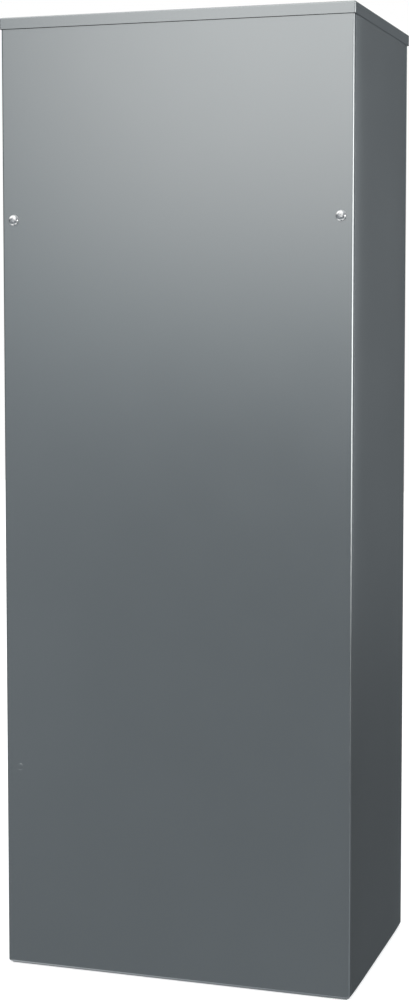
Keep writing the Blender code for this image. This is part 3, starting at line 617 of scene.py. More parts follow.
def lid():
    """The cap lid: a flat top with a rim folded down all round, and a soft seal inside it."""
    skin = thickened(pan(LID_LOW, LID_HIGH, (2, -1), 0.0018), SHEET)
    finished("lid_skin", skin, PAINT, "lid", ["lid"])
    low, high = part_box("lid_seal")
    wide = 0.008
    rings = []
    for inset, z in ((0, low.z), (0, high.z), (wide, high.z), (wide, low.z)):
        corner = (high.x - inset, high.y - inset)
        outline = rounded_rectangle((-corner[0], -corner[1]), corner, 0.012 - inset)
        rings.append([(x, y, z) for x, y in outline])
    piece("lid_seal_ring", [loft(rings, closed=True)], RUBBER, "lid", ["lid_seal"], bevel=0.0016, segments=4)


RECESS_REACH = 0.46
RECESS_WIDTH = 0.13
RECESS_FOOT = 0.55
RECESS_MOUTH = 1.05


def pan_head(radius, rise):
    """A pan head facing -Y with its seat at the origin and a cross recess, as a mesh."""
    wall = rise * 0.34
    profile = [(0, 0), (radius, 0), (radius, -wall)]
    for i in range(1, 10):
        angle = math.radians(9 * i)
        profile.append((radius * math.cos(angle), -wall - (rise - wall) * math.sin(angle)))
    profile.append((0, -rise))
    reach, arm = radius * RECESS_REACH, radius * RECESS_WIDTH
    bars = []
    for along, across in ((reach, arm), (arm, reach)):
        u, v = along * RECESS_FOOT, across * RECESS_FOOT
        foot = [(-u, -v), (u, -v), (u, v), (-u, v)]
        mouth = [(x / RECESS_FOOT * RECESS_MOUTH, z / RECESS_FOOT * RECESS_MOUTH) for x, z in foot]
        rings = [(foot, -rise * 0.42), (mouth, -rise * 1.1)]
        bars.append([loft([[place("Y", x, z, y) for x, z in outline] for outline, y in rings])])
    return carved([turned(profile, "Y", (0, 0), 48)], bars, smooth=40)


def pan_screws(name, spots, radius, rise, finish=ZINC, rear=False):
    """Pan heads on the cabinet, each seated at its spot and facing the front, or the rear."""
    turn = Matrix.Rotation(math.pi if rear else 0.0, 4, "Z")
    places = [Matrix.Translation(at) @ turn for at in spots]
    finished(name, gathered(pan_head(radius, rise), places), finish, "cabinet")


def cover_screws():
    """The two bright pan-head screws of the cover, with their threads and washers."""
    radius, rise = 0.00625, 0.0033
    head = pan_head(radius, rise)
    for box, side in zip(SCREW_AT, ("left", "right")):
        low, high = box
        at = Vector(((low.x + high.x) / 2, low.y + rise, (low.z + high.z) / 2))
        turn = Matrix.Rotation(math.radians(28 if side == "right" else -14), 4, "Y")
        mesh = gathered(head, [Matrix.Translation(at) @ turn])
        finished(f"screw_head_{side}", mesh, BRIGHT, "front_cover", [f"cover_screw_{side}"])
        shank, root, pitch = 0.003, 0.0026, 0.001
        thread = [(0, at.y), (shank, at.y)]
        y = at.y + 0.002
        while y < high.y - 0.0012:
            thread += [(shank, y), (root, y + pitch / 2)]
            y += pitch
        thread += [(0.0022, high.y - 0.0004), (0, high.y)]
        piece(f"screw_thread_{side}", [turned(thread, "Y", (at.x, at.z), 32)], ZINC, "front_cover")
        washer = [(0.0036, at.y), (0.0069, at.y), (0.0069, at.y + 0.00027), (0.0036, at.y + 0.00027)]
        piece(f"screw_washer_{side}", [turned(washer, "Y", (at.x, at.z))], ZINC, "front_cover")


# The rear

LOUVRE_COLUMNS = ((-0.165, -0.025), (0.005, 0.145))
LOUVRE_ROWS = ((0.070, 0.190, 7), (0.700, 1.040, 18))
LOUVRE_HEIGHT = 0.008
LOUVRE_DEPTH = 0.0048
LOUVRE_WALL = 0.0011
LOUVRE_END = 0.007
FLANGE_X = 0.2152
REAR_SCREW_HEIGHTS = (0.035, 0.230, 0.410, 0.600, 0.680, 0.860, 1.060, 1.160)


def louvre(left, right, z):
    """The skin of one pressed hood: a quarter-round that leans out of the sheet and ends in a lip."""
    rings = []
    across, down = 28, 6
    top = z + LOUVRE_HEIGHT + 0.0022
    span = right - left
    for wall in (0.0, LOUVRE_WALL):
        for k in range(down + 1):
            angle = math.radians(90 * k / down)
            row = []
            for i in range(across + 1):
                t = 2 * i / across - 1
                end = min(1.0, (1 - abs(t)) * span / 2 / LOUVRE_END)
                swell = math.sqrt(max(0.0, 1 - (1 - end) ** 2))
                x = left + span * (t + 1) / 2
                y = PANEL_HIGH.y - 0.0002 + (LOUVRE_DEPTH - wall) * swell * math.sin(angle)
                row.append((x, y, top - wall - (LOUVRE_HEIGHT + 0.0010) * k / down))
            rings.append(row)
    outer, inner = rings[:down + 1], rings[down + 1:]
    return sheet_between(outer + inner[::-1])


def sheet_between(rows):
    """A closed skin from rows of points that run out over one side and back over the other."""
    count = len(rows[0])
    points = [p for row in rows for p in row]
    faces = []
    for i in range(len(rows)):
        this, following = i * count, (i + 1) % len(rows) * count
        for k in range(count - 1):
            faces.append([this + k, this + k + 1, following + k + 1, following + k])
    half = len(rows) // 2
    for k in (0, count - 1):
        for i in range(half - 1):
            far = len(rows) - 1 - i
            faces.append([i * count + k, (i + 1) * count + k, (far - 1) * count + k, far * count + k])
    return points, faces


def rear_louvres():
    """The hoods over both vents of the rear panel, in two columns."""
    hoods = []
    for first, last, count in LOUVRE_ROWS:
        for i in range(count):
            z = first + (last - first) * i / (count - 1)
            hoods += [louvre(left - 0.002, right + 0.002, z) for left, right in LOUVRE_COLUMNS]
    piece("rear_louvres", hoods, PAINT, "cabinet", smooth=40)


def rear_fixings():
    """Small pan-head screws through the rear flanges, and rivets above and below the recess."""
    spots = [(x, REAR, z) for z in REAR_SCREW_HEIGHTS for x in (-FLANGE_X, FLANGE_X)]
    pan_screws("rear_screws", spots, 0.0042, 0.0024, rear=True)
    turn = Matrix.Rotation(math.pi, 4, "Z")
    dome = [(0, 0), (0.0028, 0), (0.0026, -0.0005), (0.0018, -0.0012), (0.0008, -0.0015), (0, -0.0015)]
    rivet = mesh_of([turned(dome, "Y", (0, 0), 24)])
    low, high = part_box("service_recess")
    places = []
    for z in (low.z - 0.006, high.z + 0.006):
        for share in (0.12, 0.5, 0.88):
            places.append(Matrix.Translation((low.x + share * (high.x - low.x), PANEL_HIGH.y, z)) @ turn)
    finished("recess_rivets", gathered(rivet, places), ZINC, "cabinet")


def recess_frame():
    """The flange of the service recess on the rear panel, with round corners."""
    low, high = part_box("service_recess")
    y = PANEL_HIGH.y
    wide = 0.011
    rings = []
    for grow, at in ((wide, y), (wide, y + 0.0010), (0.0, y + 0.0010), (-0.0008, y)):
        corner = 0.002 + max(0, grow) * 0.3
        outline = rounded_rectangle((low.x - grow, low.z - grow), (high.x + grow, high.z + grow), corner)
        rings.append([(x, at, z) for x, z in outline])
    piece("recess_frame", [loft(rings, closed=True)], PAINT, "cabinet", bevel=0.0004)


def hexagon(centre, across_flats):
    return circle(centre[0], centre[1], across_flats / math.sqrt(3), 6)


def service_fittings():
    """The gas union and the cable gland inside the recess, with their lock nuts."""
    low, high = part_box("gas_inlet_pipe")
    centre = ((low.x + high.x) / 2, (low.z + high.z) / 2)
    crest, root, bore, pitch = 0.0105, 0.0097, 0.0070, 0.0014
    seal_front, seal_rear = 0.1013, 0.1030
    y = seal_rear
    thread = [(0, low.y), (crest, low.y), (crest, y)]
    while y < 0.1130:
        thread += [(crest, y), (root, y + pitch / 2)]
        y += pitch
    thread += [(crest, 0.1135), (0.0146, 0.1135), (0.0146, 0.1252), (0.0140, high.y), (bore, high.y),
               (bore, 0.1000), (0, 0.1000)]
    piece("gas_union", [turned(thread, "Y", centre)], BRASS, "cabinet", ["gas_inlet_pipe"], bevel=0.0002)
    nut = prism(hexagon(centre, 0.0262), "Y", 0.1150, 0.1215)
    piece("gas_union_nut", [nut], BRASS, "cabinet", bevel=0.0008, segments=3)
    inner, outer = 0.0106, 0.0155
    seal = [(inner, seal_front), (outer, seal_front), (outer, seal_rear), (inner, seal_rear)]
    piece("gas_union_seal", [turned(seal, "Y", centre)], RUBBER, "cabinet", bevel=0.0004)
    low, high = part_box("cable_gland")
    centre = ((low.x + high.x) / 2, (low.z + high.z) / 2)
    body = [
        (0, low.y), (0.0118, low.y), (0.0118, 0.1018), (0.0160, 0.1018), (0.0160, 0.1024), (0.0120, 0.1085),
        (0.0120, 0.1100), (0.0140, 0.1104), (0.0140, 0.1180), (0.0124, 0.1225), (0.0102, 0.1252),
        (0.0085, high.y), (0.0078, 0.1250), (0.0078, 0.1150), (0, 0.1150),
    ]
    piece("gland_body", [turned(body, "Y", centre)], BLACK, "cabinet", ["cable_gland"], bevel=0.0002)
    nut = prism(hexagon(centre, 0.0278), "Y", 0.1020, 0.1080)
    piece("gland_nut", [nut], BLACK, "cabinet", bevel=0.001, segments=3)
    ribs = []
    for i in range(18):
        angle = math.radians(20 * i)
        at = (centre[0] + 0.0138 * math.cos(angle), centre[1] + 0.0138 * math.sin(angle))
        ribs.append(rod("Y", at, 0.0011, 0.1106, 0.1178, 12))
    piece("gland_ribs", ribs, BLACK, "cabinet")
    insert = [(0.0042, 0.1165), (0.0077, 0.1165), (0.0077, 0.1245), (0.0060, 0.1252), (0.0042, 0.1240)]
    piece("gland_insert", [turned(insert, "Y", centre)], RUBBER, "cabinet", smooth=60)


def tailpipe():
    """The exhaust outlet, with its rolled lip and the collar round its hole in the rear panel."""
    low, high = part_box("tailpipe")
    centre = ((low.x + high.x) / 2, (low.z + high.z) / 2)
    outer, bore, bore_end = (high.x - low.x) / 2, 0.015, 0.110
    profile = [(bore, 0.1500), (0.0162, 0.1504), (0.0175, 0.1500), (0.0179, 0.1490), (outer, 0.1480)]
    profile += [(outer, low.y), (0, low.y), (0, bore_end), (bore, bore_end)]
    piece("tailpipe_outlet", [turned(profile, "Y", centre)], EXHAUST, "cabinet", ["tailpipe"], smooth=50)
    y = PANEL_HIGH.y
    collar = [
        (0.0215, y - 0.0010), (0.0215, y + 0.0024), (0.0226, y + 0.0032), (0.0238, y + 0.0024),
        (0.0244, y + 0.0010), (0.0300, y + 0.0010), (0.0300, y), (0.0232, y), (0.0228, y - 0.0010),
    ]
    piece("flue_collar", [turned(collar, "Y", centre)], EXHAUST, "cabinet", smooth=50)


def hinge_screws():
    """A row of small screws through the hinge's lower leaf."""
    low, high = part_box("hinge_leaf_cabinet")
    count = 8
    leaf = 0.0012
    spots = []
    for i in range(count):
        x = low.x + 0.020 + (high.x - low.x - 0.040) * i / (count - 1)
        spots.append((x, REAR + GAP + leaf, low.z + 0.011))
    pan_screws("hinge_screws", spots, 0.0036, 0.0016, rear=True)


# The upper bay

def tick_marks(centre, radius, angles, y):
    """Short radial marks round a knob, standing just off its plate."""
    marks = []
    for degrees in angles:
        angle = math.radians(90 - degrees)
        along = Vector((math.cos(angle), math.sin(angle)))
        side = Vector((-along.y, along.x)) * 0.0006
        start, end = Vector(centre) + along * radius, Vector(centre) + along * (radius + 0.004)
        outline = [tuple(p) for p in (start - side, end - side, end + side, start + side)]
        marks.append(prism(outline, "Y", y - 0.0003, y))
    return marks


def control_panel():
    """The fascia with its display, lamps, tick marks, screws and collars. Nothing on it is lettered."""
    low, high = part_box("control_panel")
    face = low.y
    knobs = {name: centre_of(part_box(name)) for name in ("selector_knob", "reset_button", "emergency_stop")}
    z = knobs["reset_button"].z
    window = ((-0.149, z - 0.0265), (-0.051, z + 0.0295))
    plate_low, plate_high = (low.x + 0.006, low.z + 0.006), (high.x - 0.006, 1.119)
    plate_face = face - 0.0008
    plate = prism(rounded_rectangle(plate_low, plate_high, 0.005), "Y", plate_face, face - 0.0001)
    through = (face - 0.01, face + 0.01)
    cuts = [[prism(rounded_rectangle(*window, 0.002), "Y", *through)]]
    for name, radius in (("selector_knob", 0.0156), ("reset_button", 0.0098), ("emergency_stop", 0.0124)):
        cuts.append([rod("Y", (knobs[name].x, z), radius, *through)])
    piece("control_fascia", [plate], BLACK, "cabinet", cuts=cuts, bevel=0.0003)
    pane = rounded_rectangle((-0.1495, z - 0.0268), (-0.0505, z + 0.0298), 0.002)
    glass = prism(pane, "Y", face - 0.0001, face + 0.0018)
    piece("display_glass", [glass], GLASS, "cabinet", bevel=0.0003)
    lit_front, lit_back = face - 0.0004, face - 0.00005
    bars = []
    for i in range(12):
        x = -0.140 + i * 0.0066
        tall = 0.006 + 0.0012 * i
        bars.append(block((x, lit_front, z - 0.018), (x + 0.0042, lit_back, z - 0.018 + tall)))
    for bottom, top in ((z - 0.0212, z - 0.0205), (z + 0.0165, z + 0.0172)):
        bars.append(block((-0.141, lit_front, bottom), (-0.062, lit_back, top)))
    piece("display_bars", bars, LIT, "cabinet")
    lamp = [(0, face - 0.0024), (0.0012, face - 0.0021), (0.0022, face - 0.0012), (0.0024, face), (0, face)]
    ring = [
        (0.0024, face - 0.0016), (0.0036, face - 0.0012), (0.0036, face - 0.0008), (0.0024, face - 0.0008),
    ]
    for x, finish, label in ((-0.030, GREEN, "run"), (0.020, YELLOW, "warning"), (0.072, RED, "fault")):
        at = (x, z + 0.038)
        piece(f"lamp_{label}", [turned(lamp, "Y", at)], finish, "cabinet", smooth=60)
        piece(f"lamp_ring_{label}", [turned(ring, "Y", at)], BRIGHT, "cabinet", smooth=60)
    marks = tick_marks((knobs["selector_knob"].x, z), 0.0178, (-45, 0, 45), plate_face)
    piece("selector_marks", marks, WHITE, "cabinet")
    edge = 0.008
    corners = [
        (x, plate_face, height)
        for x in (plate_low[0] + edge, plate_high[0] - edge)
        for height in (plate_low[1] + edge, plate_high[1] - edge)
    ]
    pan_screws("fascia_screws", corners, 0.0032, 0.0020)
    collar = [
        (0.0108, face - 0.0003), (0.0205, face - 0.0009), (0.0205, face - 0.0030), (0.0195, face - 0.0040),
        (0.0125, face - 0.0046), (0.0108, face - 0.0040),
    ]
    at = (knobs["emergency_stop"].x, z)
    piece("emergency_collar", [turned(collar, "Y", at)], YELLOW, "cabinet", smooth=50)
    ring = [
        (0.0100, face - 0.0001), (0.0125, face - 0.0009), (0.0125, face - 0.0018), (0.0100, face - 0.0022),
    ]
    piece("reset_ring", [turned(ring, "Y", (knobs["reset_button"].x, z))], BRIGHT, "cabinet", smooth=50)


def round_over(radius, rise, start, steps=6):
    """Profile points of a shallow dome from the edge at (radius, start) to the axis, rising towards -."""
    points = []
    for i in range(steps):
        angle = math.radians(90 * i / steps)
        points.append((radius * math.cos(angle), start - rise * math.sin(angle)))
    return points + [(0, start - rise)]


def control_knobs():
    """The selector with its grip and pointer, the reset button, and the emergency stop with its arrows."""
    low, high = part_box("selector_knob")
    x, z, seat = (low.x + high.x) / 2, (low.z + high.z) / 2, low.y + 0.016
    base = [(0, high.y), (0.0045, high.y), (0.0045, seat), (0.0150, seat), (0.0146, seat - 0.0030)]
    base += [(0.0128, seat - 0.0068)] + round_over(0.0122, 0.0006, seat - 0.0074)
    ridges = []
    for i in range(24):
        angle = math.radians(15 * i)
        at = (x + 0.0137 * math.cos(angle), z + 0.0137 * math.sin(angle))
        ridges.append(rod("Y", at, 0.0007, seat - 0.0052, seat - 0.0006, 8))
    shapes = [turned(base, "Y", (x, z)), *ridges]
    piece("selector_base", shapes, BLACK, "selector_knob", ["selector_knob"])
    grip = rounded_rectangle((x - 0.0035, z - 0.0118), (x + 0.0035, z + 0.0118), 0.0030)
    ridge = prism(grip, "Y", low.y, seat - 0.0060)
    piece("selector_grip", [ridge], BLACK, "selector_knob", bevel=0.0010, segments=3)
    line = block((x - 0.0006, low.y - 0.00005, z + 0.0015), (x + 0.0006, low.y + 0.0006, z + 0.0105))
    piece("selector_pointer", [line], WHITE, "selector_knob")
    low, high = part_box("reset_button")
    x, seat = (low.x + high.x) / 2, low.y + 0.005
    cap = [(0, high.y), (0.009, high.y), (0.009, seat - 0.0036)] + round_over(0.0084, 0.0009, seat - 0.0041)
    piece("reset_cap", [turned(cap, "Y", (x, z))], YELLOW, "reset_button", ["reset_button"], smooth=50)
    low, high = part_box("emergency_stop")
    x, seat = (low.x + high.x) / 2, low.y + 0.0215
    mushroom = [
        (0, high.y), (0.0098, high.y), (0.0098, seat - 0.0098), (0.0172, seat - 0.0106),
        (0.0186, seat - 0.0118), (0.0190, seat - 0.0140), *round_over(0.0186, 0.0060, seat - 0.0155, 10),
    ]
    head = turned(mushroom, "Y", (x, z))
    piece("emergency_head", [head], RED, "emergency_stop", ["emergency_stop"], smooth=60)
    arrows = []
    for i in range(3):
        angle = math.radians(120 * i + 90)
        at = Vector((x, z)) + 0.0110 * Vector((math.cos(angle), math.sin(angle)))
        tip = Vector((-math.sin(angle), math.cos(angle)))
        out = Vector((math.cos(angle), math.sin(angle)))
        tail = at - tip * 0.0018
        outline = [tuple(at + tip * 0.0034), tuple(tail + out * 0.0020), tuple(tail - out * 0.0020)]
        arrows.append(prism(outline, "Y", seat - 0.0210, seat - 0.0180))
    piece("emergency_arrows", arrows, WHITE, "emergency_stop")


def inverter():
    """The inverter's finned heat sink, with its ribbed cover, screws and plugs."""
    low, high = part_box("inverter")
    outline = comb(low.x, high.x, low.y, 0.100, high.y, 14, 0.3, 0.0012)
    sink = prism(outline, "Z", low.z, high.z)
    piece("inverter_heatsink", [sink], CAST, "cabinet", ["inverter"], bevel=0.0006)
    lid_low, lid_high = (low.x + 0.008, low.z + 0.010), (high.x - 0.008, high.z - 0.010)
    cover = prism(rounded_rectangle(lid_low, lid_high, 0.006), "Y", low.y - 0.004, low.y)
    piece("inverter_cover", [cover], BLACK, "cabinet", bevel=0.0012, segments=3)
    ribs = []
    for i in range(9):
        z = low.z + 0.060 + i * 0.025
        ribs.append(block((low.x + 0.030, low.y - 0.0052, z), (high.x - 0.030, low.y - 0.0035, z + 0.008)))
    piece("inverter_ribs", ribs, BLACK, "cabinet", bevel=0.0006)
    edge = 0.010
    spots = [
        (x, low.y - 0.004, z)
        for x in (lid_low[0] + edge, 0.0, lid_high[0] - edge)
        for z in (lid_low[1] + edge, lid_high[1] - edge)
    ]
    pan_screws("inverter_screws", spots, 0.0035, 0.0022)
    for i, x in enumerate((-0.100, -0.060, 0.060, 0.100)):
        plug = block((x - 0.014, low.y + 0.012, low.z - 0.016), (x + 0.014, low.y + 0.034, low.z - 0.0002))
        piece(f"inverter_plug_{i + 1}", [plug], BLACK, "cabinet", bevel=0.0015)


def breaker_and_terminals():
    """The breaker's nose and screws, and the terminal block's bars and screws."""
    low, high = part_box("main_breaker")
    x, z = (low.x + high.x) / 2, (low.z + high.z) / 2
    nose = block((x - 0.0345, low.y - 0.0030, z - 0.024), (x + 0.0345, low.y + 0.001, z + 0.024))
    window = block((x - 0.0070, low.y - 0.02, z - 0.0225), (x + 0.0070, low.y + 0.02, z + 0.0225))
    piece("breaker_nose", [nose], GREY, "cabinet", cuts=[[window]], bevel=0.0008)
    spots = [(x + offset, low.y, z + height) for offset in (-0.018, 0.018) for height in (-0.034, 0.034)]
    pan_screws("breaker_screws", spots, 0.0042, 0.0020, BRASS)
    low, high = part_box("terminal_block")
    count, edge = 6, 0.0053
    pitch = (high.x - low.x - edge) / count
    seat = low.y + 0.0135
    spots = []
    bars = []
    for i in range(count):
        middle = low.x + edge + (i + 0.42) * pitch
        for height in (0.30, 0.70):
            spots.append((middle, seat, low.z + height * (high.z - low.z)))
        bars.append(block(
            (middle - 0.0075, seat, low.z + 0.004), (middle + 0.0075, low.y + 0.0152, high.z - 0.004),
        ))
    pan_screws("terminal_screws", spots, 0.0048, 0.0024, BRASS)
    piece("terminal_bars", bars, BRASS, "cabinet", bevel=0.0003)


def breaker_lever():
    """The breaker's toggle: a round hub with a lever that narrows towards its tip."""
    low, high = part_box("breaker_toggle")
    x = (low.x + high.x) / 2
    axle = (-0.093, 0.845)
    hub = rod("X", axle, 0.0069, low.x, high.x, 48)
    tilt = math.radians(25)
    along = Vector((-math.cos(tilt), math.sin(tilt)))
    side = Vector((math.sin(tilt), math.cos(tilt)))
    pivot = Vector(axle)
    arm = [
        pivot - side * 0.0036,
        pivot + along * 0.018 - side * 0.0026,
        pivot + along * 0.0198 - side * 0.0012,
        pivot + along * 0.0198 + side * 0.0012,
        pivot + along * 0.018 + side * 0.0026,
        pivot + side * 0.0036,
    ]
    lever = prism([tuple(p) for p in arm], "X", x - 0.005, x + 0.005)
    piece("breaker_lever", [hub, lever], BLACK, "breaker_toggle", ["breaker_toggle"], bevel=0.0006)


def cables():
    """Wires held along the cabinet: from the gland, from the inverter and from the controls, with ties."""
    gland = centre_of(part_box("cable_gland"))
    for i, (finish, x) in enumerate(((BLACK, -0.010), (BLUE, 0.015), (EARTH, 0.040))):
        shift = 0.007 * i
        route = [
            (gland.x + 0.004 * (i - 1), 0.0870, gland.z + 0.004 * (i % 2)),
            (gland.x + shift * 0.3, 0.060, 0.485),
            (0.075 + shift, 0.060, 0.560), (0.085 + shift, 0.090, 0.620), (0.085 + shift, 0.070, 0.665),
            (x + 0.02, -0.012, 0.690), (x, -0.018, 0.740), (x, -0.020, 0.800),
        ]
        cable(f"supply_wire_{i + 1}", route, 0.0026, finish)
    for i in range(4):
        x = -0.100 + 0.012 * i
        route = [
            (x, 0.060, 0.664), (x + 0.01, 0.030, 0.648), (x + 0.04, -0.005, 0.655),
            (x + 0.03, -0.016, 0.740), (x + 0.01, -0.020, 0.810),
        ]
        cable(f"inverter_wire_{i + 1}", route, 0.0022, (BLACK, RED, BLACK, BLUE)[i])
    route = [
        (-0.120, -0.060, 1.030), (-0.125, -0.045, 1.020), (-0.130, -0.022, 0.985), (-0.150, 0.000, 0.965),
        (-0.165, 0.010, 0.900), (-0.165, 0.012, 0.700),
    ]
    cable("control_cable", route, 0.0035, BLACK)
    for i, z in enumerate((0.900, 0.820, 0.740)):
        tie = [(0.0034, z), (0.0044, z), (0.0044, z + 0.0025), (0.0034, z + 0.0025)]
        piece(f"cable_tie_{i + 1}", [turned(tie, "Z", (-0.165, 0.0115), 24)], WHITE, "cabinet")


def cover_foam():
    """Sound-absorbing foam on the back of the cover, moulded in rounded waves on its inner side."""
    low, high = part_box("cover_foam")
    across, up = 84, 248
    deep = 0.0042
    waves = 0.021
    points = []
    for side in (0, 1):
        for j in range(up + 1):
            z = low.z + (high.z - low.z) * j / up
            for i in range(across + 1):
                x = low.x + (high.x - low.x) * i / across
                edge = min(x - low.x, high.x - x, z - low.z, high.z - z)
                shoulder = math.sqrt(max(0.0, 1 - max(0.0, 1 - edge / 0.006) ** 2))
                wave = 0.5 + 0.25 * (math.cos(2 * math.pi * x / waves) + math.cos(2 * math.pi * z / waves))
                thick = (high.y - low.y - deep) + deep * wave
                points.append((x, low.y if side == 0 else low.y + thick * (0.55 + 0.45 * shoulder), z))
    wide = across + 1
    layer = wide * (up + 1)
    faces = []
    for j in range(up):
        for i in range(across):
            corner = j * wide + i
            faces.append([corner, corner + 1, corner + wide + 1, corner + wide])
            above = layer + corner
            faces.append([above, above + wide, above + wide + 1, above + 1])
    rim = [i for i in range(across)] + [across + wide * j for j in range(up)]
    rim += [up * wide + across - i for i in range(across)] + [wide * (up - j) for j in range(up)]
    for k, start in enumerate(rim):
        end = rim[(k + 1) % len(rim)]
        faces.append([start, end, layer + end, layer + start])
    foam = piece("cover_foam_pad", [(points, faces)], FOAM, "front_cover", ["cover_foam"], smooth=60)
# The engine bay and the middle bay

SUMP_TOP = 0.095
CAST_EDGE = 0.0010
CYLINDER_BORE = 0.031
COWL_RADIUS = 0.092
VALVE_STEM_Y = 0.0525


def hex_heads(name, axis, spots, start, rise, wide, body="cabinet"):
    """Hexagon bolt heads, each on a washer, standing on a face from start and rising along the axis."""
    shapes = []
    thin = math.copysign(0.0008, rise)
    for u, v in spots:
        shapes.append(rod(axis, (u, v), wide * 0.72, start, start + thin, 24))
        shapes.append(prism(circle(u, v, wide / math.sqrt(3), 6), axis, start + thin, start + rise))
    piece(name, shapes, ZINC, body, bevel=0.0004)


def band(name, axis, centre, radius, start, end):
    """A worm-drive clamp: a thin ring with its screw housing beside it."""
    inner, outer = radius + 0.0002, radius + 0.0010
    ring = [(inner, start), (outer, start), (outer, end), (inner, end)]
    middle = (start + end) / 2
    low = place(axis, centre[0] - 0.0045, centre[1] + radius, middle - 0.0035)
    high = place(axis, centre[0] + 0.0045, centre[1] + radius + 0.005, middle + 0.0035)
    housing = block([min(a, b) for a, b in zip(low, high)], [max(a, b) for a, b in zip(low, high)])
    piece(name, [turned(ring, axis, centre), housing], ZINC, "cabinet", bevel=0.0004)


def rubber_isolators():
    """Waisted rubber mounts, with a nut on top of the cradle for each."""
    for end in ("front", "rear"):
        for side in ("left", "right"):
            name = f"isolator_{end}_{side}"
            low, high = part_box(name)
            at = centre_of((low, high))
            rim, waist = (high.x - low.x) / 2, 0.0115
            step, plate = 0.0008, 0.0025
            profile = [(0, low.z), (rim, low.z), (rim, low.z + plate)]
            tall = high.z - low.z - 2 * plate
            for i in range(1, 12):
                share = i / 12
                radius = rim - step - (rim - waist - step) * math.sin(math.pi * share) ** 0.7
                profile.append((radius, low.z + plate + tall * share))
            profile += [(rim, high.z - plate), (rim, high.z), (0, high.z)]
            mount = turned(profile, "Z", (at.x, at.y))
            piece(f"{name}_mount", [mount], RUBBER, "cabinet", [name], bevel=0.0004)
    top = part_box("engine_cradle")[1].z
    spots = [(x, y) for x in (-0.175, 0.040) for y in (-0.088, 0.088)]
    hex_heads("isolator_nuts", "Z", spots, top, 0.0065, 0.013)


def finned_barrel():
    """The cylinder barrel with thin round fins, tapered to their edges."""
    low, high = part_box("cylinder_barrel")
    at = centre_of((low, high))
    fins, root, tip = 8, 0.039, high.z - at.z
    pitch = (high.x - low.x) / fins
    profile = [(CYLINDER_BORE, low.x), (root, low.x)]
    for i in range(fins):
        left = low.x + (i + 0.30) * pitch
        profile += [
            (root, left), (tip - 0.001, left + 0.0007), (tip, left + 0.0013), (tip - 0.001, left + 0.0019),
            (root, left + 0.0026),
        ]
    profile += [(root, high.x), (CYLINDER_BORE, high.x)]
    barrel = turned(profile, "X", (at.y, at.z))
    piece("cylinder_fins", [barrel], CAST, "cabinet", ["cylinder_barrel"], smooth=50)


def crankcase_casting():
    """The sump and the round crankcase, with ribs, the cylinder's seat and the boss of the oil filler."""
    low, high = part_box("crankcase")
    shaft = centre_of(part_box("rotor"))
    centre = (shaft.x, shaft.y)
    cylinder = centre_of(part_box("cylinder_barrel"))
    filler = centre_of(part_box("oil_fill_tube"))
    floor = 0.062
    radius, hollow, seal = 0.068, 0.052, 0.0135
    sump = prism(rounded_rectangle((low.x, -0.080), (0.015, 0.080), 0.025, 12), "Z", low.z, SUMP_TOP)
    well = rod("Z", centre, hollow, floor, SUMP_TOP + 0.01)
    piece("crankcase_sump", [sump], CAST, "cabinet", ["crankcase"], bevel=CAST_EDGE, cuts=[[well]])
    body = turned(
        [(hollow, SUMP_TOP - 0.005), (radius, SUMP_TOP - 0.005), (radius, high.z), (seal, high.z),
         (seal, high.z - 0.023), (hollow, high.z - 0.023)],
        "Z", centre, 128,
    )
    ribs = []
    for angle in [math.radians(80 + 25 * i) for i in range(9)]:
        heading = Vector((math.cos(angle), math.sin(angle), 0))
        across = Vector((-math.sin(angle), math.cos(angle), 0)) * 0.002
        root, tip = radius - 0.004, radius + 0.0035
        foot = SUMP_TOP - 0.002
        outline = [(root, foot), (tip, foot), (tip, high.z - 0.045), (root, high.z - 0.030)]
        rings = [
            [Vector((*centre, z)) + heading * reach + across * side for reach, z in outline]
            for side in (-1, 1)
        ]
        ribs.append(loft(rings))
    piece("crankcase_body", [body, *ribs], CAST, "cabinet", bevel=CAST_EDGE)
    half = 0.048
    seat = prism(rounded_rectangle((-half, cylinder.z - half), (half, cylinder.z + half), 0.010), "X",
                 centre[0] + 0.050, -0.005)
    bore = rod("X", (cylinder.y, cylinder.z), CYLINDER_BORE, centre[0], 0.0)
    piece("cylinder_seat", [seat], CAST, "cabinet", bevel=CAST_EDGE, cuts=[[bore]])
    boss = prism(rounded_rectangle((-0.150, -0.116), (-0.115, -0.070), 0.006), "Z", floor, SUMP_TOP + 0.0002)
    dip = rod("Z", (filler.x, filler.y), 0.006, floor + 0.004, SUMP_TOP + 0.01, 32)
    piece("filler_boss", [boss], CAST, "cabinet", bevel=CAST_EDGE, cuts=[[dip]])


def cowl_outline(centre, end, inset):
    """The cowl in plan, drawn in by the inset: a round body that runs into a straight duct."""
    radius, half = COWL_RADIUS - inset, 0.056 - inset
    start = math.asin(half / radius)
    outline = []
    for i in range(ROUND + 1):
        angle = start + (2 * math.pi - 2 * start) * i / ROUND
        outline.append((centre[0] + radius * math.cos(angle), centre[1] + radius * math.sin(angle)))
    corners = rounded_rectangle((centre[0], centre[1] - half), (end - inset, centre[1] + half), 0.010 - inset)
    return outline + corners[:len(corners) // 2]


def cowl():
    """The moulded fan cowl with its inlet and its duct over the cylinder."""
    low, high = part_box("blower_housing")
    shaft = centre_of(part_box("rotor"))
    centre = (shaft.x, shaft.y)
    wall = 0.0025
    outer = prism(cowl_outline(centre, high.x, 0.0), "Z", low.z, high.z)
    inner = prism(cowl_outline(centre, high.x, wall), "Z", low.z - 0.01, high.z - wall)
    inlet = rod("Z", centre, 0.058, high.z - 0.02, high.z + 0.02, 96)
    piece("fan_cowl", [outer], BLACK, "cabinet", ["blower_housing"], bevel=0.0008, segments=3,
          cuts=[[inner], [inlet]])


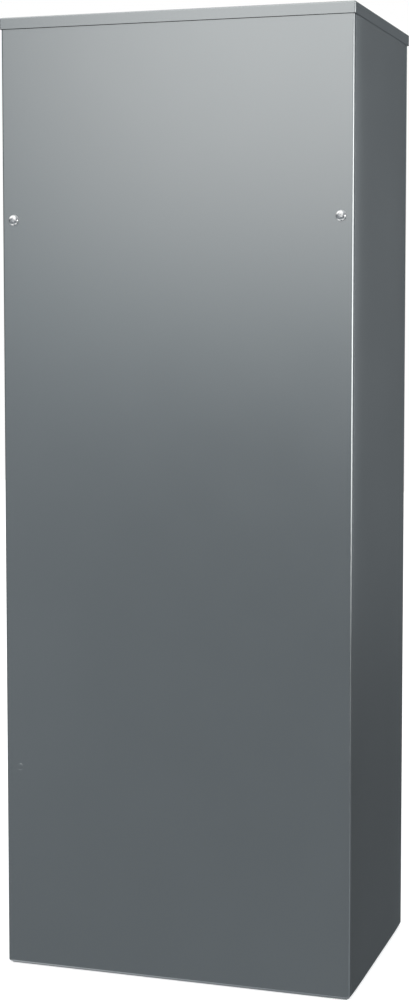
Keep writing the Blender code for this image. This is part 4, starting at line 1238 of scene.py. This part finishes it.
def rocker_cover():
    """A moulded cover with a flange, raised ribs and four bolts."""
    low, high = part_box("rocker_cover")
    thick, edge = 0.005, 0.006
    flange = prism(rounded_rectangle((low.y, low.z), (high.y, high.z), 0.008), "X", low.x, low.x + thick)
    crown = []
    for i in range(9):
        angle = math.radians(90 * i / 8)
        inset = edge + 0.010 * (1 - math.cos(angle))
        x = low.x + thick + (high.x - low.x - 0.007) * math.sin(angle)
        corners = (low.y + inset, low.z + inset), (high.y - inset, high.z - inset)
        crown.append([(x, u, v) for u, v in rounded_rectangle(*corners, 0.010)])
    ribs = [
        prism(rounded_rectangle((low.y + 0.018, z - 0.0018), (high.y - 0.018, z + 0.0018), 0.0017), "X",
              high.x - 0.008, high.x)
        for z in (0.147, 0.156, 0.165, 0.174, 0.183)
    ]
    shapes = [flange, loft(crown), *ribs]
    piece("rocker_cover_shell", shapes, BLACK, "cabinet", ["rocker_cover"], bevel=0.0006)
    spots = [(y, z) for y in (low.y + edge, high.y - edge) for z in (low.z + edge, high.z - edge)]
    hex_heads("rocker_cover_bolts", "X", spots, low.x + thick, 0.005, 0.007)


def ignition():
    """The spark plug with its hexagon and ribbed insulator, and the boot and lead over it."""
    low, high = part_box("spark_plug")
    at = centre_of((low, high))
    hexagon_at = (-0.0600, -0.0530)
    skirt = [(0, high.y), (0.008, high.y), (0.008, hexagon_at[1]), (0, hexagon_at[1])]
    profile = [(0, hexagon_at[0]), (0.0056, hexagon_at[0])]
    for i in range(5):
        y = -0.0610 - 0.0034 * i
        profile += [(0.0055, y), (0.0055, y - 0.0015), (0.0047, y - 0.0022), (0.0047, y - 0.0032)]
    profile += [(0.0028, -0.0790), (0.0028, low.y), (0, low.y)]
    centre = (at.x, at.z)
    body = turned(profile, "Y", centre)
    piece("spark_plug_body", [body], CERAMIC, "cabinet", ["spark_plug"], smooth=30)
    nut = prism(circle(*centre, 0.0098, 6), "Y", *hexagon_at)
    piece("spark_plug_hexagon", [nut, turned(skirt, "Y", centre, 32)], ZINC, "cabinet", bevel=0.0004)
    boot = [(0.0030, -0.0800), (0.0062, -0.0800), (0.0075, -0.0830), (0.0075, -0.0900), (0.0050, -0.0930),
            (0, -0.0930), (0, -0.0865), (0.0030, -0.0865)]
    piece("plug_boot", [turned(boot, "Y", centre)], RUBBER, "cabinet", bevel=0.0005)
    lead = [
        (at.x, -0.0900, at.z), (at.x, -0.1000, at.z), (at.x - 0.008, -0.108, at.z - 0.012),
        (at.x - 0.040, -0.104, at.z - 0.030), (at.x - 0.072, -0.094, at.z - 0.020),
        (at.x - 0.080, -0.083, at.z),
    ]
    cable("ignition_lead", lead, 0.0034, BLACK)
    coil = rounded_rectangle((at.x - 0.094, at.z - 0.014), (at.x - 0.066, at.z + 0.014), 0.004)
    piece("ignition_coil", [prism(coil, "Y", -0.0835, -0.0600)], BLACK, "cabinet", bevel=0.0012)


def engine_bolts():
    """Bolts on the sump and the head, and the drain plug."""
    spots = [(-0.150, 0.000), (-0.150, 0.062), (-0.100, 0.072), (0.005, 0.062), (0.005, -0.062)]
    hex_heads("sump_bolts", "Z", spots, SUMP_TOP, 0.005, 0.008)
    low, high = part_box("cylinder_head")
    spots = [(x, z) for x in (low.x + 0.006, high.x - 0.006) for z in (low.z + 0.012, high.z - 0.030)]
    hex_heads("head_bolts", "Y", spots, low.y, -0.0045, 0.007)
    hex_heads("drain_plug", "Y", [(-0.070, 0.062)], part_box("crankcase")[0].y + 0.036, -0.006, 0.014)


def fan_guard():
    """A wire guard over the cowl's inlet, with rings and spokes, and screws round the cowl."""
    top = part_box("blower_housing")[1].z
    centre = (-0.075, 0.0)
    shapes = []
    wire = 0.0011
    for radius in (0.012, 0.024, 0.036, 0.048, 0.060):
        ring = [(radius + u, top + wire + v) for u, v in circle(0, 0, wire, 8)]
        shapes.append(turned(ring, "Z", centre))
    for i in range(6):
        angle = math.radians(60 * i)
        heading = Vector((math.cos(angle), math.sin(angle), 0))
        across = Vector((-math.sin(angle), math.cos(angle), 0))
        rings = []
        for reach in (0.012, 0.0615):
            middle = Vector((*centre, top + 2.6 * wire)) + heading * reach
            rings.append([
                middle + across * wire * u + Vector((0, 0, wire * v)) for u, v in circle(0, 0, 1, 8)
            ])
        shapes.append(loft(rings))
    piece("fan_guard", shapes, ZINC, "cabinet", smooth=60)
    reach = 0.075
    spots = [(centre[0] + reach * math.cos(a), reach * math.sin(a)) for a in (0.6, 2.2, 3.7, 5.3)]
    hex_heads("cowl_screws", "Z", spots, top, 0.0035, 0.006)


def muffler_shell():
    """The muffler's two pressed halves with the pinched seam, its stiffening beads and its feet."""
    low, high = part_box("muffler")
    low = Vector((0.150, low.y, 0.060))
    inset = 0.0025
    levels = ((0, 0.012), (0.004, 0.004), (0.010, 0.001), (0.016, 0.0))
    rings = [(low.z + lift, draw) for lift, draw in levels]
    beads = 5
    rise = levels[-1][0]
    span = high.z - low.z - 2 * rise
    for i in range(beads):
        start = low.z + rise + span * (i + 0.25) / beads
        rings += [(start, 0.0), (start + 0.004, -inset), (start + 0.016, -inset), (start + 0.020, 0.0)]
    rings += [(high.z - lift, draw) for lift, draw in reversed(levels)]
    shell = loft([plan_ring(low, high, inset + draw, 0.012, z) for z, draw in rings])
    seam_at = (low.x + high.x) / 2
    seam = block((seam_at - 0.001, low.y, low.z + 0.006), (seam_at + 0.001, high.y, high.z - 0.006))
    legs = [block((0.165, y, 0.0025), (0.168, y + 0.020, 0.066)) for y in (-0.035, 0.060)]
    shapes = [shell, seam, *legs]
    piece("muffler_shell", shapes, EXHAUST, "cabinet", ["muffler"], bevel=0.0006, smooth=40)


def air_box():
    """The air cleaner: a box with a lipped lid, moulded ribs and two wire clips."""
    low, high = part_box("air_cleaner")
    split = high.z - 0.040
    radius = 0.010
    base = (
        (low.z, 0.007), (low.z + 0.004, 0.0035), (low.z + 0.012, 0.0025), (split - 0.004, 0.0015),
        (split - 0.004, 0.0), (split, 0.0),
    )
    seal = ((split - 0.001, 0.002), (split + 0.002, 0.002))
    cap = (
        (split + 0.0008, 0.0), (split + 0.006, 0.0), (split + 0.006, 0.002), (high.z - 0.006, 0.003),
        (high.z - 0.002, 0.006), (high.z - 0.001, 0.010),
    )
    shapes = [
        loft([plan_ring(low, high, inset, radius, z) for z, inset in levels]) for levels in (base, seal, cap)
    ]
    for x in [low.x + 0.024 + 0.0135 * i for i in range(10)]:
        rib = rounded_rectangle((x, low.y + 0.014), (x + 0.003, high.y - 0.014), 0.0014)
        shapes.append(prism(rib, "Z", high.z - 0.002, high.z))
    piece("air_box", shapes, BLACK, "cabinet", ["air_cleaner"], bevel=0.0005)
    wires = []
    half, wide = 0.009, 0.0025
    for x in (low.x + 0.035, high.x - 0.035):
        for z in (split - 0.012, split + 0.009):
            wires.append(block((x - half, low.y - 0.0004, z), (x + half, low.y + 0.0016, z + wide)))
        for u in (x - half, x + 0.0065):
            far = (u + wide, low.y + 0.0008, split + 0.0115)
            wires.append(block((u, low.y - 0.0012, split - 0.012), far))
    piece("air_box_clips", wires, ZINC, "cabinet", bevel=0.0005)


def oil_filler():
    """The beaded filler tube, and the dipstick with a fluted cap."""
    low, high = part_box("oil_fill_tube")
    at = centre_of((low, high))
    bore, bead = 0.0085, high.x - at.x
    tube = bead - 0.0004
    profile = [(bore, low.z), (tube, low.z)]
    for z in (low.z + 0.020, low.z + 0.150):
        profile += [(tube, z), (bead, z + 0.001), (bead, z + 0.004), (tube, z + 0.005)]
    profile += [(tube, high.z - 0.008), (bead, high.z - 0.007), (bead, high.z), (bore, high.z)]
    filler = turned(profile, "Z", (at.x, at.y))
    piece("oil_tube", [filler], BRIGHT, "cabinet", ["oil_fill_tube"], bevel=0.0003)
    low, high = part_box("dipstick")
    reach = (high.x - low.x) / 2
    flutes = 16
    rings = []
    for z, share in ((0.2853, 0.94), (0.2865, 1.0), (0.2985, 1.0), (0.3005, 0.88), (high.z, 0.74)):
        ring = []
        for i in range(flutes * 6):
            angle = 2 * math.pi * i / (flutes * 6)
            radius = reach * share * (1 - 0.05 * (1 + math.cos(flutes * angle)) / 2)
            ring.append((at.x + radius * math.cos(angle), at.y + radius * math.sin(angle), z))
        rings.append(ring)
    blade = [(0, low.z), (0.0022, low.z + 0.002), (0.0022, 0.2860), (0, 0.2860)]
    shapes = [loft(rings), turned(blade, "Z", (at.x, at.y), 24)]
    piece("dipstick_cap", shapes, YELLOW, "dipstick", ["dipstick"], bevel=0.0004, smooth=50)


def battery_set():
    """The ribbed battery with its posts, lead clamps and leads.

    The lid and the vent plugs don't come through: they overlap the case, and the cut drops them and leaves
    one slot-sized block. Cutting each plug on its own, as a separate piece, would keep them.
    """
    low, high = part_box("battery")
    wall_top, lid_top = 0.5500, 0.5620
    corner = 0.005
    levels = ((low.z, 0.003), (low.z + 0.003, 0.001), (wall_top - 0.020, 0.0), (wall_top, 0.0))
    case = loft([plan_ring(low, high, inset, corner, z) for z, inset in levels])
    cap = loft([plan_ring(low, high, 0.006, corner, z) for z in (wall_top - 0.001, lid_top)])
    ribs = [
        block((x, low.y, low.z + 0.020), (x + 0.003, low.y + 0.003, wall_top - 0.024))
        for x in [low.x + 0.012 + 0.013 * i for i in range(13)]
    ]
    plugs = []
    slots = []
    for i in range(6):
        along = 0.018 * i
        plugs.append(rod("Z", (0.0755 + along, -0.038), 0.0065, 0.5615, 0.5645, 32))
        slots.append([block((0.0700 + along, -0.0387, 0.5637), (0.0810 + along, -0.0373, 0.5655))])
    mesh = carved([case, cap, *ribs, *plugs], slots)
    finished("battery_case", mesh, BLACK, "cabinet", ["battery"], bevel=0.0006)
    poles = ((0.055, RED, "positive"), (0.186, BLACK, "negative"))
    post_y, foot = -0.060, 0.5610
    post = [(0, foot), (0.008, foot), (0.0072, high.z - 0.001), (0.0064, high.z), (0, high.z)]
    posts = [turned(post, "Z", (x, post_y), 40) for x, _, _ in poles]
    piece("battery_posts", posts, ZINC, "cabinet", bevel=0.0004)
    inner, outer, bottom, top = 0.0083, 0.0115, 0.5625, 0.5690
    ring = [(inner, bottom), (outer, bottom), (outer, top), (inner, top)]
    for x, finish, label in poles:
        ear = block((x - 0.004, post_y + 0.0105, 0.5630), (x + 0.004, post_y + 0.021, 0.5685))
        piece(f"{label}_clamp", [turned(ring, "Z", (x, post_y)), ear], BRASS, "cabinet", bevel=0.0005)
        toward = -1 if x < 0.1 else 1
        lead = [
            (x, -0.0420, 0.5658), (x, -0.030, 0.5700), (x + 0.003 * toward, -0.008, 0.5650),
            (x + 0.004 * toward, 0.002, 0.5200), (x + 0.004 * toward, 0.003, 0.4200),
        ]
        cable(f"{label}_lead", lead, 0.0038, finish)


def brass_valve():
    """The inlet union, the ball valve with hexagon ends, and its lever with a dipped grip."""
    low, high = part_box("gas_inlet_pipe")
    at = centre_of((low, high))
    centre = (at.x, at.z)
    inner, crest, root = 0.0070, 0.0104, 0.0092
    thread_end = 0.1135
    thread = [(inner, 0.0753), (0.0085, 0.0753)]
    for i in range(9):
        y = 0.0870 + 0.0028 * i
        thread += [(crest, y), (root, y + 0.0014)]
    thread += [(crest, thread_end), (inner, thread_end)]
    nut = prism(circle(*centre, 0.0149, 6), "Y", thread_end, high.y)
    tail = prism(circle(*centre, 0.0150, 6), "Y", 0.0760, 0.0860)
    bore = [rod("Y", centre, 0.0068, 0.0745, high.y + 0.001, 32)]
    shapes = [turned(thread, "Y", centre), nut, tail]
    piece("inlet_union", shapes, BRASS, "cabinet", ["gas_inlet_pipe"], bevel=0.0005, cuts=[bore])
    low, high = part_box("gas_valve")
    reach = high.x - at.x
    end = 0.009
    ends = [prism(circle(*centre, 0.0160, 6), "Y", start, start + end) for start in (low.y, high.y - end)]
    ball = [(0, low.y + end)]
    for i in range(13):
        angle = math.radians(-60 + 120 * i / 12)
        ball.append((reach * math.cos(angle), (low.y + high.y) / 2 + 0.0156 * math.sin(angle)))
    ball.append((0, high.y - end))
    stem = rod("Z", (at.x, VALVE_STEM_Y), 0.005, at.z, high.z, 32)
    packing = prism(circle(at.x, VALVE_STEM_Y, 0.0085, 6), "Z", at.z + 0.015, at.z + 0.0215)
    shapes = [*ends, turned(ball, "Y", centre), stem, packing]
    piece("ball_valve", shapes, BRASS, "cabinet", ["gas_valve"], bevel=0.0006, smooth=30)
    low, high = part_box("gas_valve_lever")
    outline = rounded_rectangle((low.x, low.y), (high.x, high.y), 0.0075)
    grip = prism(outline, "Z", low.z, high.z)
    piece("valve_lever", [grip], YELLOW, "gas_valve_lever", ["gas_valve_lever"], bevel=0.0011, segments=4)
    spots = [(at.x, VALVE_STEM_Y)]
    hex_heads("valve_lever_nut", "Z", spots, high.z, 0.005, 0.008, "gas_valve_lever")


def regulator():
    """The demand regulator: a round diaphragm case with a bolted flange, and its spring cap and vent."""
    low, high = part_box("gas_regulator")
    at = Vector((-0.150, 0, 0.500))
    centre = (at.x, at.z)
    profile = [(0, low.y + 0.002), (0.013, low.y + 0.001), (0.0195, low.y + 0.003), (0.0200, -0.0560)]
    for i in range(7):
        angle = math.radians(90 * i / 6)
        profile.append((0.030 + 0.018 * math.sin(angle), -0.0500 - 0.004 * math.cos(angle)))
    rim, groove, foot, front = 0.0550, 0.0542, 0.0480, -0.0440
    profile += [
        (foot, front), (rim, -0.0438), (rim, -0.0404), (groove, -0.0402), (groove, -0.0398), (rim, -0.0396),
        (rim, -0.0362), (foot, -0.0360),
    ]
    for i in range(9):
        angle = math.radians(90 * i / 8)
        profile.append((0.014 + 0.034 * math.cos(angle), -0.0300 + 0.015 * math.sin(angle)))
    profile += [(0.0120, -0.0130), (0.0120, high.y), (0, high.y)]
    outlet = rod("X", (-0.030, at.z), 0.007, at.x + 0.030, high.x, 32)
    inlet_nut = prism(circle(*centre, 0.0165, 6), "Y", high.y - 0.012, high.y - 0.002)
    shapes = [turned(profile, "Y", centre), outlet, inlet_nut]
    piece("regulator_case", shapes, CAST, "cabinet", ["gas_regulator"], bevel=0.0005, smooth=32)
    ring = 0.0510
    angles = [math.pi * i / 4 for i in range(8)]
    spots = [(at.x + ring * math.cos(a), at.z + ring * math.sin(a)) for a in angles]
    hex_heads("regulator_screws", "Y", spots, front, -0.004, 0.005)


def hose_and_clamps():
    """The gas hose along its CAD route, held by a clamp at each end."""
    start = (-0.0877, -0.030, 0.500)
    end = (0.0482, -0.098, 0.200)
    route = [
        start, (-0.080, -0.030, 0.500), (-0.068, -0.030, 0.500), (-0.030, -0.055, 0.488),
        (0.002, -0.092, 0.452), (0.012, -0.105, 0.405), (0.012, -0.105, 0.330), (0.012, -0.105, 0.250),
        (0.018, -0.101, 0.215), (0.034, -0.098, 0.200), (0.041, -0.098, 0.200), end,
    ]
    hose = cable("gas_hose_cover", route, 0.0079, RUBBER, resolution=8)
    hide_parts("gas_hose")
    radius = 0.008
    band("hose_clamp_upper", "X", start[1:], radius, -0.0850, -0.0775)
    band("hose_clamp_lower", "X", end[1:], radius, 0.0375, 0.0450)


# The studio: each panel is its edges in azimuth, its edges in elevation, both in degrees, and its level

SEAM = 20
BASE = 0.055
FRONT_DIM = ((-80, -50, 10, 30), None, 0.114)
KEY = ((-31, -18.5, 2, 14), (-5.5, 8.5), 0.97)
STRIP = ((30, 38, 120, 136), (-8.5, -5, 6, 12), 2.7)
BACK = ((146, 158, 178, 190), (-14, -6), 0.03)
BACK_NEAR = ((144, 150, 156, 164), (-14, 2, 5, 18), 0.62)
BACK_FAR = ((161, 171, 178, 190), None, 0.02)
SIDE_FLOOR = ((30, 46, 146, 156), (-80, -50, -18, -12), 0.26)
LEFT_GLOW = ((-48, -38, -28, -17), (-18, -12, -2, 6), 0.06)
LEFT_HIGH = ((-112, -96, -40, -30), (12, 22), 0.80)
FLOOR_LEFT = ((-112, -96, -48, -36), (-78, -64, -40, -28), 0.90)
FLOOR_RIGHT = ((4, 16, 44, 60), (-78, -64, -40, -28), 0.90)
FLOOR_FRONT = ((-50, -38, 6, 18), (-64, -52, -38, -28), 0.42)
DARK_CARD = ((-50, -38, 178, 190), (-100, -95, -72, -56), -0.05)
LEFT_FILL = ((-150, -138, -60, -48), (-80, -50, -16, -10), 0.12)
BACK_ROUND = ((172, 184), (-170, -165, -138, -118))
BACK_FLOOR = ((-80, -60, -21, -12), 0.34)
BACK_HIGH = ((10, 22), 0.70)
OVERHEAD = ((-120, -100, 110, 135), (12, 40), 0.45)
PANELS = [FRONT_DIM, KEY, STRIP, BACK, BACK_NEAR, BACK_FAR, SIDE_FLOOR, LEFT_GLOW, LEFT_FILL, LEFT_HIGH,
          FLOOR_LEFT, FLOOR_RIGHT, FLOOR_FRONT, DARK_CARD, OVERHEAD]
PANELS += [(across, heights, level) for across in BACK_ROUND for heights, level in (BACK_FLOOR, BACK_HIGH)]
DOME_LOW = 0.26
DOME_HIGH = 0.75
DIM_COLOUR = (0.92, 1.02, 1.10, 1)
KEY_COLOUR = (1.0, 0.99, 0.98, 1)
COLOUR_LEVELS = (0.15, 0.9)


def stage():
    """A white floor, which no reflection or soft light sees."""
    size = 6.0
    points = [(-size, -size, 0), (size, -size, 0), (size, size, 0), (-size, size, 0)]
    mesh = bpy.data.meshes.new("floor")
    mesh.from_pydata(points, [], [(0, 1, 2, 3)])
    floor = bpy.data.objects.new("floor", mesh)
    bpy.context.scene.collection.objects.link(floor)
    made = bpy.data.materials.new("pale_floor")
    made.use_nodes = True
    shader = made.node_tree.nodes["Principled BSDF"]
    shader.inputs["Base Color"].default_value = (0.90, 0.90, 0.90, 1)
    shader.inputs["Roughness"].default_value = 0.9
    shader.inputs["Emission Color"].default_value = (1, 1, 1, 1)
    shader.inputs["Emission Strength"].default_value = 0.62
    mesh.materials.append(made)
    floor.visible_glossy = False
    floor.visible_diffuse = False


def smooth_step(tree, value, low, high):
    """0 below low, 1 above high, and a smooth rise between them."""
    step = node(tree, "ShaderNodeMapRange", interpolation_type="SMOOTHSTEP")
    step.inputs["From Min"].default_value = low
    step.inputs["From Max"].default_value = high
    tree.links.new(value, step.inputs["Value"])
    return step.outputs["Result"]


def combine(tree, operation, first, second):
    """A Math node on two values, each a number or a socket."""
    made = node(tree, "ShaderNodeMath", operation=operation)
    for socket, value in zip(made.inputs, (first, second)):
        if isinstance(value, (int, float)):
            socket.default_value = value
        else:
            tree.links.new(value, socket)
    return made.outputs[0]


def mix_value(tree, factor, low, high):
    """low where the factor is 0, high where it is 1; each is a number or a socket."""
    spread = combine(tree, "SUBTRACT", high, low)
    return combine(tree, "ADD", combine(tree, "MULTIPLY", factor, spread), low)


def window(tree, value, edges):
    """1 between the middle two edges and 0 outside the outer two; with two edges, it only rises."""
    rising = smooth_step(tree, value, edges[0], edges[1])
    if len(edges) == 2:
        return rising
    return combine(tree, "SUBTRACT", rising, smooth_step(tree, value, edges[2], edges[3]))


def panel(tree, azimuth, elevation, across, heights, level):
    """The light of one soft panel, between these azimuths and heights."""
    light = level
    if across:
        light = combine(tree, "MULTIPLY", window(tree, azimuth, across), light)
    if heights:
        light = combine(tree, "MULTIPLY", window(tree, elevation, heights), light)
    return light


def studio_world():
    """Soft panels for reflections, a plain dome for diffuse light, and white where the camera looks past.

    Angles are in degrees: azimuth 0 is -Y and 90 is +X.
    """
    world = bpy.data.worlds.new("studio")
    bpy.context.scene.world = world
    world.use_nodes = True
    tree = world.node_tree
    tree.nodes.clear()
    place_in = node(tree, "ShaderNodeTexCoord")
    turn = node(tree, "ShaderNodeVectorRotate", rotation_type="Z_AXIS")
    turn.inputs["Angle"].default_value = -math.radians(SEAM)
    tree.links.new(place_in.outputs["Generated"], turn.inputs["Vector"])
    axes = node(tree, "ShaderNodeSeparateXYZ")
    tree.links.new(turn.outputs["Vector"], axes.inputs[0])
    forward = combine(tree, "MULTIPLY", axes.outputs["Y"], -1.0)
    azimuth = combine(tree, "MULTIPLY", combine(tree, "ARCTAN2", axes.outputs["X"], forward), math.degrees(1))
    azimuth = combine(tree, "ADD", azimuth, SEAM)
    elevation = combine(tree, "MULTIPLY", combine(tree, "ARCSINE", axes.outputs["Z"], 0.0), math.degrees(1))
    level = BASE
    for across, heights, strength in PANELS:
        level = combine(tree, "ADD", panel(tree, azimuth, elevation, across, heights, strength), level)
    dome = mix_value(tree, smooth_step(tree, axes.outputs["Z"], -0.3, 1.0), DOME_LOW, DOME_HIGH)
    path = node(tree, "ShaderNodeLightPath")
    strength = mix_value(tree, path.outputs["Is Diffuse Ray"], level, dome)
    tint = node(tree, "ShaderNodeMix", data_type="RGBA")
    tree.links.new(smooth_step(tree, strength, *COLOUR_LEVELS), tint.inputs[0])
    tint.inputs[6].default_value = DIM_COLOUR
    tint.inputs[7].default_value = KEY_COLOUR
    light = node(tree, "ShaderNodeBackground")
    tree.links.new(tint.outputs[2], light.inputs["Color"])
    tree.links.new(strength, light.inputs["Strength"])
    white = node(tree, "ShaderNodeBackground", Color=(1, 1, 1, 1))
    choose = node(tree, "ShaderNodeMixShader")
    tree.links.new(path.outputs["Is Camera Ray"], choose.inputs[0])
    tree.links.new(light.outputs[0], choose.inputs[1])
    tree.links.new(white.outputs[0], choose.inputs[2])
    out = node(tree, "ShaderNodeOutputWorld")
    tree.links.new(choose.outputs[0], out.inputs[0])


def camera():
    """The view from the front, a little from the right and above the middle, on a long lens."""
    yaw, pitch = math.radians(17.627), math.radians(4.192)
    data = bpy.data.cameras.new("camera")
    data.sensor_width = 36.0
    data.lens = 67.76
    data.shift_x = -0.0116
    data.shift_y = -0.0577
    thing = bpy.data.objects.new("camera", data)
    bpy.context.scene.collection.objects.link(thing)
    thing.location = (0.7469, -2.3272, 0.8455)
    aim = Vector((-math.sin(yaw) * math.cos(pitch), math.cos(yaw) * math.cos(pitch), -math.sin(pitch)))
    thing.rotation_euler = aim.to_track_quat("-Z", "Y").to_euler()
    bpy.context.scene.camera = thing


camera()
stage()
studio_world()
bpy.context.scene.view_settings.view_transform = "Standard"
for build in (
    finish_cad_nodes, front_cover, side_skins, lid, cover_screws, rear_louvres, rear_fixings,
    recess_frame, service_fittings, tailpipe, hinge_screws, control_panel, control_knobs, inverter,
    breaker_and_terminals, breaker_lever, cables, cover_foam, rubber_isolators, crankcase_casting, cowl,
    finned_barrel, rocker_cover, ignition, engine_bolts, fan_guard, muffler_shell, air_box, oil_filler,
    battery_set, brass_valve, regulator, hose_and_clamps,
):
    build()
